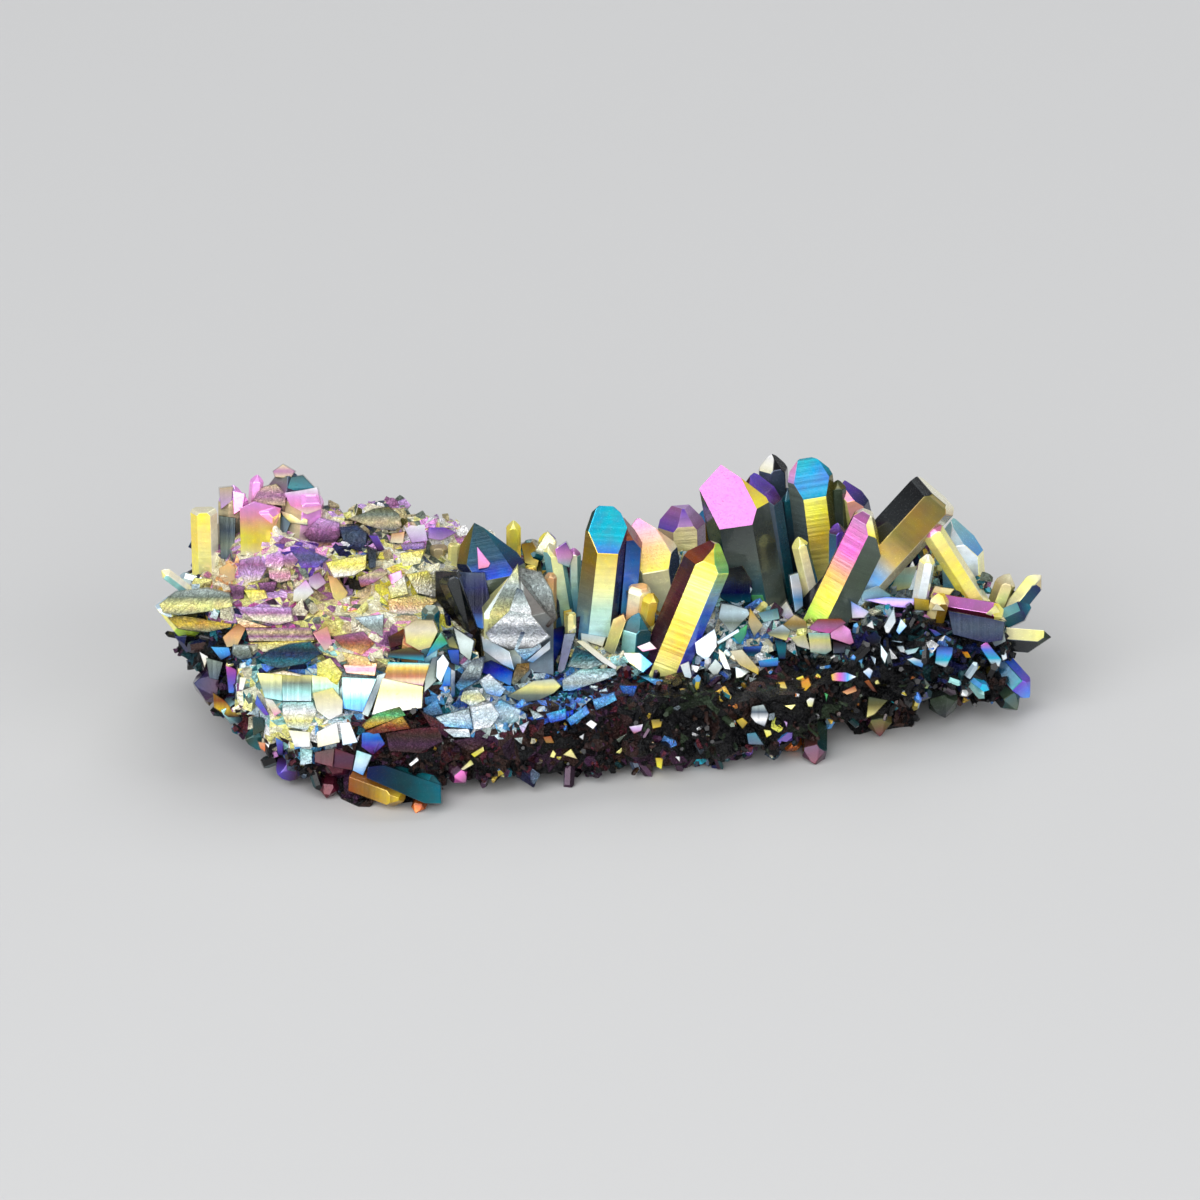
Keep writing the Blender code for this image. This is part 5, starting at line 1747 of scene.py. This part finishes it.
@dataclass
class CrustPlate:
    """The plate and its crust: the solid's own form, broken into facets and coloured bed by bed."""

    name: str = "crust_plate"
    weld: float = 1e-6  # corners nearer than this are one, in metres
    voxel: float = 0.45
    sink: float = -0.8
    moat: float = 0.2  # how far round a crystal the crust is sunk, as a share of its radius
    behind: float = 0.3  # how far the crust keeps behind a shard's front, in mm
    reach: float = 3.5  # crust further before a shard than this belongs to something else
    unbroken: float = 0.6  # rock nearer the floor than this stays whole, in mm
    break_size: float = 3.4
    break_depth: float = 1.5
    fine_size: float = 1.3
    fine_depth: float = 0.7
    break_level: float = 0.55  # the share of a pattern that lies below the solid's surface
    keep: float = 0.17
    cell: float = 1.9  # spacing of the patches that have one colour
    faced: float = 0.8  # how much the way that a facet faces sets its patch
    shade_luck: Pair = (0.84, 1.12)

    def model(self, ground: Ground, plan: BedPlan, film: bpy.types.Material) -> bpy.types.Object:
        """Model and dress the plate.

        Args:
            ground: the solid's surface, with the shards that cover it.
            plan: its beds.
            film: the finish.

        Returns:
            The plate as one piece.
        """
        made = bpy.data.objects.new(self.name, ground.node.data.copy())
        bpy.context.scene.collection.objects.link(made)
        Bench.take(made)
        Bench.edit()
        bpy.ops.mesh.remove_doubles(threshold=self.weld)
        Bench.close_outward()
        Bench.finish(made, "REMESH", mode="VOXEL", voxel_size=self.voxel * MM)
        points = Bench.read_points(made.data)
        rock = ground.is_rock(points / MM, self.moat)
        self.mark(made, "under_crystals", ~rock)
        self.mark(made, "open_rock", rock & (points[:, 2] > self.unbroken * MM))
        Bench.finish(made, "DISPLACE", strength=self.sink * MM, mid_level=0.0, vertex_group="under_crystals")
        self.fracture(made, "large_breaks", self.break_size, self.break_depth)
        self.fracture(made, "fine_breaks", self.fine_size, self.fine_depth)
        Bench.finish(made, "DECIMATE", ratio=self.keep)
        self.draw_back(made, ground)
        self.dress(made, plan)
        made.data.materials.clear()
        made.data.materials.append(film)
        return made

    @staticmethod
    def mark(made: bpy.types.Object, name: str, chosen: np.ndarray) -> None:
        """Put the chosen vertices in a group of that name."""
        group = made.vertex_groups.new(name=name)
        group.add(np.nonzero(chosen)[0].tolist(), 1.0, "REPLACE")

    def fracture(self, made: bpy.types.Object, name: str, size: float, depth: float) -> None:
        """Break the open rock's surface.

        Args:
            made: the plate.
            name: what the pattern of breaks is called.
            size: its scale, in mm.
            depth: how far the surface moves, in mm.
        """
        breaks = bpy.data.textures.new(name, "VORONOI")
        breaks.noise_scale = size * MM
        breaks.color_mode = "POSITION"
        shaping = {"texture": breaks, "strength": depth * MM, "mid_level": self.break_level}
        Bench.finish(made, "DISPLACE", **shaping, vertex_group="open_rock")

    def draw_back(self, made: bpy.types.Object, ground: Ground) -> None:
        """Draw the crust back where it stands before a shard, with nothing below the floor.

        Args:
            made: the plate.
            ground: the solid's surface, with the shards that cover it.
        """
        points = Bench.read_points(made.data)
        stands = ground.over_shards(points / MM, 0.0)
        ahead = (stands > -self.behind) & (stands < self.reach)
        points[ahead] += np.outer(stands[ahead] + self.behind, DRAWING.away) * MM
        points[:, 2] = np.maximum(points[:, 2], 0)
        made.data.vertices.foreach_set("co", points.astype(np.float32).ravel())
        made.data.update()

    def dress(self, made: bpy.types.Object, plan: BedPlan) -> None:
        """Colour the plate's facets, patch by patch.

        Args:
            made: the plate.
            plan: its beds.
        """
        mesh = made.data
        count = len(mesh.polygons)
        centres, normals, totals = np.empty(count * 3), np.empty(count * 3), np.empty(count, int)
        mesh.polygons.foreach_get("center", centres)
        mesh.polygons.foreach_get("normal", normals)
        mesh.polygons.foreach_get("loop_total", totals)
        centres, normals = centres.reshape(-1, 3) / MM, normals.reshape(-1, 3)
        rng = np.random.default_rng(SEED)
        grid = np.round(centres / self.cell + normals * self.faced).astype(int)
        _, patch = np.unique(grid, axis=0, return_inverse=True)
        patch = patch.reshape(-1)
        bed_of = plan.assign(centres, normals, rng)
        luck, shade = rng.random(patch.max() + 1), rng.random(patch.max() + 1)
        colours = np.zeros((count, 3))
        for number, bed in enumerate(plan.all_beds):
            mine = bed_of == number
            tints = np.array(lights(bed.tints))
            pick = (luck[patch[mine]] * len(tints)).astype(int)
            low, high = bed.shade
            colours[mine] = tints[pick] * (low + (high - low) * shade[patch[mine]])[:, None]
        colours *= rng.uniform(*self.shade_luck, (count, 1))
        Bench.put_film_and_light(mesh, np.repeat(colours, totals, axis=0))


@dataclass
class Pattern:
    """One small piece, modelled once: its points, the corners of its faces and how many each face has."""

    points: np.ndarray
    corners: np.ndarray
    totals: np.ndarray

    @classmethod
    def take(cls, thing: bpy.types.Object) -> "Pattern":
        """Read an object's mesh and clear the object away.

        Args:
            thing: the object, in edit mode.

        Returns:
            The pattern.
        """
        Bench.close()
        mesh = thing.data
        corners = np.array([loop.vertex_index for loop in mesh.loops])
        totals = np.array([polygon.loop_total for polygon in mesh.polygons])
        made = cls(Bench.read_points(mesh), corners, totals)
        bpy.data.objects.remove(thing)
        bpy.data.meshes.remove(mesh)
        return made


@dataclass(frozen=True)
class SmallPieces:
    """Models the chips and small points that are copied over the rock, one millimetre across."""

    breaks: int = 5
    break_reach: Pair = (0.22, 0.46)  # from a chip's middle to a break
    point_length: Pair = (1.8, 2.9)
    point_radius: float = 0.5
    buried: float = 0.4  # how far a point's foot is below the surface
    end_way: Pair = (0.786, 0.618)  # how far out and up an end face looks
    low_end: Pair = (0.3, 0.45)  # how far every other end face has come down
    high_end: Pair = (0.0, 0.12)

    def chip(self, rng: random.Random) -> Pattern:
        """Model a sharp chip of broken quartz.

        Args:
            rng: the run of chance.

        Returns:
            The chip.
        """
        bpy.ops.mesh.primitive_cube_add(size=1.0)
        made = Bench.added("chip")
        for _ in range(self.breaks):
            normal = Vector([rng.gauss(0, 1) for _ in range(3)]).normalized()
            Bench.break_off(normal * rng.uniform(*self.break_reach), normal)
        return Pattern.take(made)

    def point(self, rng: random.Random) -> Pattern:
        """Model a small crystal that stands on the origin along Z.

        Args:
            rng: the run of chance.

        Returns:
            The crystal.
        """
        length = rng.uniform(*self.point_length)
        made = stand_prism("point", self.point_radius, length, self.buried)
        for face in range(FACES):
            lowered = rng.uniform(*(self.low_end if face % 2 else self.high_end))
            Bench.break_off(Vector((0, 0, length - self.buried - lowered)), end_normal(face, *self.end_way))
        return Pattern.take(made)


@dataclass
class Seats:
    """Places for small pieces: where they are, the way the surface faces, and the bed and size of each."""

    points: np.ndarray
    normals: np.ndarray
    beds: np.ndarray
    sizes: np.ndarray

    def part(self, chosen: np.ndarray) -> "Seats":
        """The chosen places alone."""
        return Seats(self.points[chosen], self.normals[chosen], self.beds[chosen], self.sizes[chosen])


@dataclass
class Scatter:
    """Small pieces copied over the beds and joined to one mesh for each part of the cluster."""

    ground: Ground
    plan: BedPlan
    sink: float = 0.12  # share of a chip's size that its middle lies below the surface
    clearance: float = 0.1  # how far round a crystal none lie, as a share of its radius
    berth: float = 0.3  # how far round a shard none lie, in mm
    clearing: float = 3.5  # how far before or behind its front none lie, in mm
    floor_gap: float = 0.5  # none are seated nearer the floor than this, in mm
    mostly_small: float = 1.7  # at 1 all sizes are as common, and above it the small ones are more so
    part_ends: Pair = (-22.0, 8.0)  # where the left and the middle part end, in mm
    tall: Pair = (0.8, 1.3)  # how far a crystal is stretched along its axis
    wide: Pair = (0.6, 1.3)  # how far a chip is stretched each way
    lean: float = 0.38  # how far a crystal leans from the surface's normal
    facet_shade: Pair = (0.55, 1.35)
    other_share: float = 0.2  # of the facets have another of the bed's colours
    other_shade: float = 0.9

    def spread(
        self, name: str, patterns: list[Pattern], film: bpy.types.Material, seed: int, upright: bool
    ) -> list[bpy.types.Object]:
        """Copy the patterns over the rock.

        Args:
            name: what the pieces are called.
            patterns: the small pieces to choose from.
            film: the finish of their faces.
            seed: the start of the run of chance.
            upright: whether they stand out from the surface, as crystals do.

        Returns:
            The joined pieces, from left to right.
        """
        rng = np.random.default_rng(seed)
        beds = self.plan.all_beds
        density = np.array([bed.points if upright else bed.chips for bed in beds])
        reach = np.array([bed.point if upright else bed.chip for bed in beds])
        points, normals = self.ground.sow(density.max(), rng)
        bed_of = self.plan.assign(points, normals, rng)
        keep = rng.random(len(points)) < density[bed_of] / density.max()
        keep &= (points[:, 2] > self.floor_gap) & self.ground.is_rock(points, self.clearance)
        chosen = np.flatnonzero(keep)
        chosen = chosen[np.abs(self.ground.over_shards(points[chosen], self.berth)) > self.clearing]
        low, high = reach[bed_of[chosen]].T
        sizes = low + (high - low) * rng.random(len(chosen)) ** self.mostly_small
        seats = Seats(points[chosen], normals[chosen], bed_of[chosen], sizes)
        parts = np.digitize(seats.points[:, 0], self.part_ends)
        made = []
        for part, label in enumerate(("left", "middle", "right")):
            piece = self.copy_out(f"{name}_{label}", patterns, seats.part(parts == part), rng, upright)
            piece.data.materials.append(film)
            made.append(piece)
        return made

    def copy_out(
        self, name: str, patterns: list[Pattern], seats: Seats, rng: np.random.Generator, upright: bool
    ) -> bpy.types.Object:
        """Copy the patterns to their places and join the copies.

        Args:
            name: the piece's name.
            patterns: the small pieces to choose from.
            seats: their places.
            rng: the run of chance.
            upright: whether the copies stand out from the surface.

        Returns:
            The joined piece, in metres.
        """
        beds = self.plan.all_beds
        tints = [lights(bed.tints) for bed in beds]
        glints = [lights(bed.glints) for bed in beds]
        copies, corners, totals, colours = [], [], [], []
        base = 0
        for point, normal, size, number in zip(seats.points, seats.normals, seats.sizes, seats.beds):
            pattern = patterns[rng.integers(len(patterns))]
            turn = self.turn(normal, rng, upright)
            stretch = np.array([1, 1, rng.uniform(*self.tall)]) if upright else rng.uniform(*self.wide, 3)
            copies.append((pattern.points * stretch * size) @ turn.T + point - normal * size * self.sink)
            palette = (glints if rng.random() < beds[number].glint_share else tints)[number]
            colour = palette[rng.integers(len(palette))] * rng.uniform(*beds[number].shade)
            faces = len(pattern.totals)
            facets = colour * rng.uniform(*self.facet_shade, (faces, 1))
            other = palette[rng.integers(len(palette))]
            facets[rng.random(faces) < self.other_share] = other * self.other_shade
            corners.append(pattern.corners + base)
            totals.append(pattern.totals)
            colours.append(np.repeat(facets, pattern.totals, axis=0))
            base += len(pattern.points)
        mesh = bpy.data.meshes.new(name)
        fill_mesh(mesh, np.concatenate(copies), np.concatenate(corners), np.concatenate(totals))
        Bench.put_film_and_light(mesh, np.concatenate(colours))
        made = bpy.data.objects.new(name, mesh)
        bpy.context.scene.collection.objects.link(made)
        return made

    def turn(self, normal: np.ndarray, rng: np.random.Generator, upright: bool) -> np.ndarray:
        """Turn one copy: any way round for a chip, and roughly along the normal for a crystal.

        Args:
            normal: which way the surface faces.
            rng: the run of chance.
            upright: whether the copy is a crystal.

        Returns:
            The turn as a matrix.
        """
        if not upright:
            turn, _ = np.linalg.qr(rng.normal(0, 1, (3, 3)))
            return turn * (1 if np.linalg.det(turn) > 0 else -1)
        along = normal + rng.normal(0, self.lean, 3)
        along /= np.linalg.norm(along)
        side = np.cross(along, rng.normal(0, 1, 3))
        side /= np.linalg.norm(side)
        return np.column_stack([side, np.cross(along, side), along])


def fill_mesh(mesh: bpy.types.Mesh, points: np.ndarray, corners: np.ndarray, totals: np.ndarray) -> None:
    """Write points and faces into an empty mesh, with nothing below the floor.

    Args:
        mesh: the mesh.
        points: its points, in millimetres.
        corners: the points at its faces' corners, face after face.
        totals: how many corners each face has.
    """
    mesh.vertices.add(len(points))
    above = np.maximum(points, (-np.inf, -np.inf, 0.0)) * MM
    mesh.vertices.foreach_set("co", above.astype(np.float32).ravel())
    mesh.loops.add(len(corners))
    mesh.loops.foreach_set("vertex_index", corners.astype(np.int32))
    mesh.polygons.add(len(totals))
    starts = np.concatenate([[0], np.cumsum(totals)[:-1]])
    mesh.polygons.foreach_set("loop_start", starts.astype(np.int32))
    mesh.update(calc_edges=True)
    mesh.shade_flat()
    mesh.validate()


@dataclass(frozen=True)
class Lamp:
    """A square soft light that faces the cluster: its place and side in metres, and its power in watts."""

    name: str
    place: Point
    side: float
    watts: float

    def hang(self) -> None:
        """Add the light to the scene."""
        bpy.ops.object.light_add(type="AREA", location=self.place)
        lamp = bpy.context.view_layer.objects.active
        lamp.name = self.name
        lamp.data.size = self.side
        lamp.data.energy = self.watts
        lamp.rotation_euler = (-Vector(self.place)).to_track_quat("-Z", "Y").to_euler()


LAMPS = (
    Lamp("key_light", (-0.7, -0.9, 1.0), 1.5, 22.0),
    Lamp("fill_light", (0.9, -0.7, 0.5), 0.9, 5.0),
    Lamp("front_light", (0.1, -1.5, 0.3), 1.4, 14.0),
    Lamp("back_light", (0.2, 0.8, 0.9), 0.8, 5.0),
)


@dataclass(frozen=True)
class Studio:
    """The floor, the air and the camera."""

    distance: float = 2.4
    frame_width: float = 0.15
    sensor: float = 36.0
    clip: Pair = (0.05, 20.0)
    aim_up: float = 25.0  # the picture's middle on the drawing, in mm
    floor_side: float = 6.0
    floor_cuts: int = 3
    air: Point = (0.55, 0.57, 0.6)
    air_light: float = 0.42

    def lay_floor(self) -> None:
        """Lay the pale, flat floor."""
        bpy.ops.mesh.primitive_plane_add(size=self.floor_side)
        floor = Bench.added("pale_floor")
        bpy.ops.mesh.subdivide(number_cuts=self.floor_cuts)
        Bench.close()
        floor.data.materials.append(FloorPaint().material())

    def set_air(self) -> None:
        """Set the grey air that lights the cluster from all round, and plain picture colours."""
        world = bpy.data.worlds.new("studio_air")
        world.use_nodes = True
        background = world.node_tree.nodes["Background"]
        background.inputs["Color"].default_value = (*self.air, 1)
        background.inputs["Strength"].default_value = self.air_light
        bpy.context.scene.world = world
        bpy.context.scene.view_settings.view_transform = "Standard"

    def set_camera(self) -> None:
        """Set the camera 25 degrees above the horizon, far off behind a long lens."""
        camera = bpy.data.cameras.new("camera")
        camera.lens = self.sensor * self.distance / self.frame_width
        camera.clip_start, camera.clip_end = self.clip
        holder = bpy.data.objects.new("camera", camera)
        holder.location = (DRAWING.zero + DRAWING.up * self.aim_up) * MM - DRAWING.away * self.distance
        holder.rotation_euler = (math.radians(90) - DRAWING.elevation, 0, 0)
        bpy.context.scene.collection.objects.link(holder)
        bpy.context.scene.camera = holder


def register(piece: bpy.types.Object) -> None:
    """Hang a finished piece on the cluster's body and report it.

    Args:
        piece: the piece.
    """
    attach(piece, BODY)
    triangles = sum(polygon.loop_total - 2 for polygon in piece.data.polygons)
    LOG.info("%s: %d triangles", piece.name, triangles)


def main() -> None:
    """Build the cluster's pieces in order, then the studio."""
    logging.basicConfig(level=logging.INFO, format="%(message)s")
    crystals = tuple(crystal for stand in STANDS for crystal in stand.crystals)
    ground = Ground(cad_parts[NODE], crystals)
    plan = BedPlan(ground)
    crystal_film = CrystalFilm().material()
    crust_film = CrustFilm().material()
    rng = random.Random(SEED)
    for stand in STANDS:
        register(stand.model(rng, crystal_film))
    setter = ShardSetter(ground)
    register(setter.set_all("smooth_shards", SMOOTH_SHARDS, crystal_film))
    register(setter.set_all("rough_shards", ROUGH_SHARDS, crust_film))
    plate = CrustPlate().model(ground, plan, crust_film)
    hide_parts(NODE)
    register(plate)
    small = SmallPieces()
    luck = random.Random(SEED)
    chips = [small.chip(luck) for _ in range(CHIP_KINDS)]
    points = [small.point(luck) for _ in range(POINT_KINDS)]
    scatter = Scatter(ground, plan)
    for piece in scatter.spread("chips", chips, crust_film, SEED + 1, upright=False):
        register(piece)
    for piece in scatter.spread("small_points", points, crystal_film, SEED + 2, upright=True):
        register(piece)
    studio = Studio()
    studio.lay_floor()
    for lamp in LAMPS:
        lamp.hang()
    studio.set_air()
    studio.set_camera()


if __name__ == "__main__":
    main()
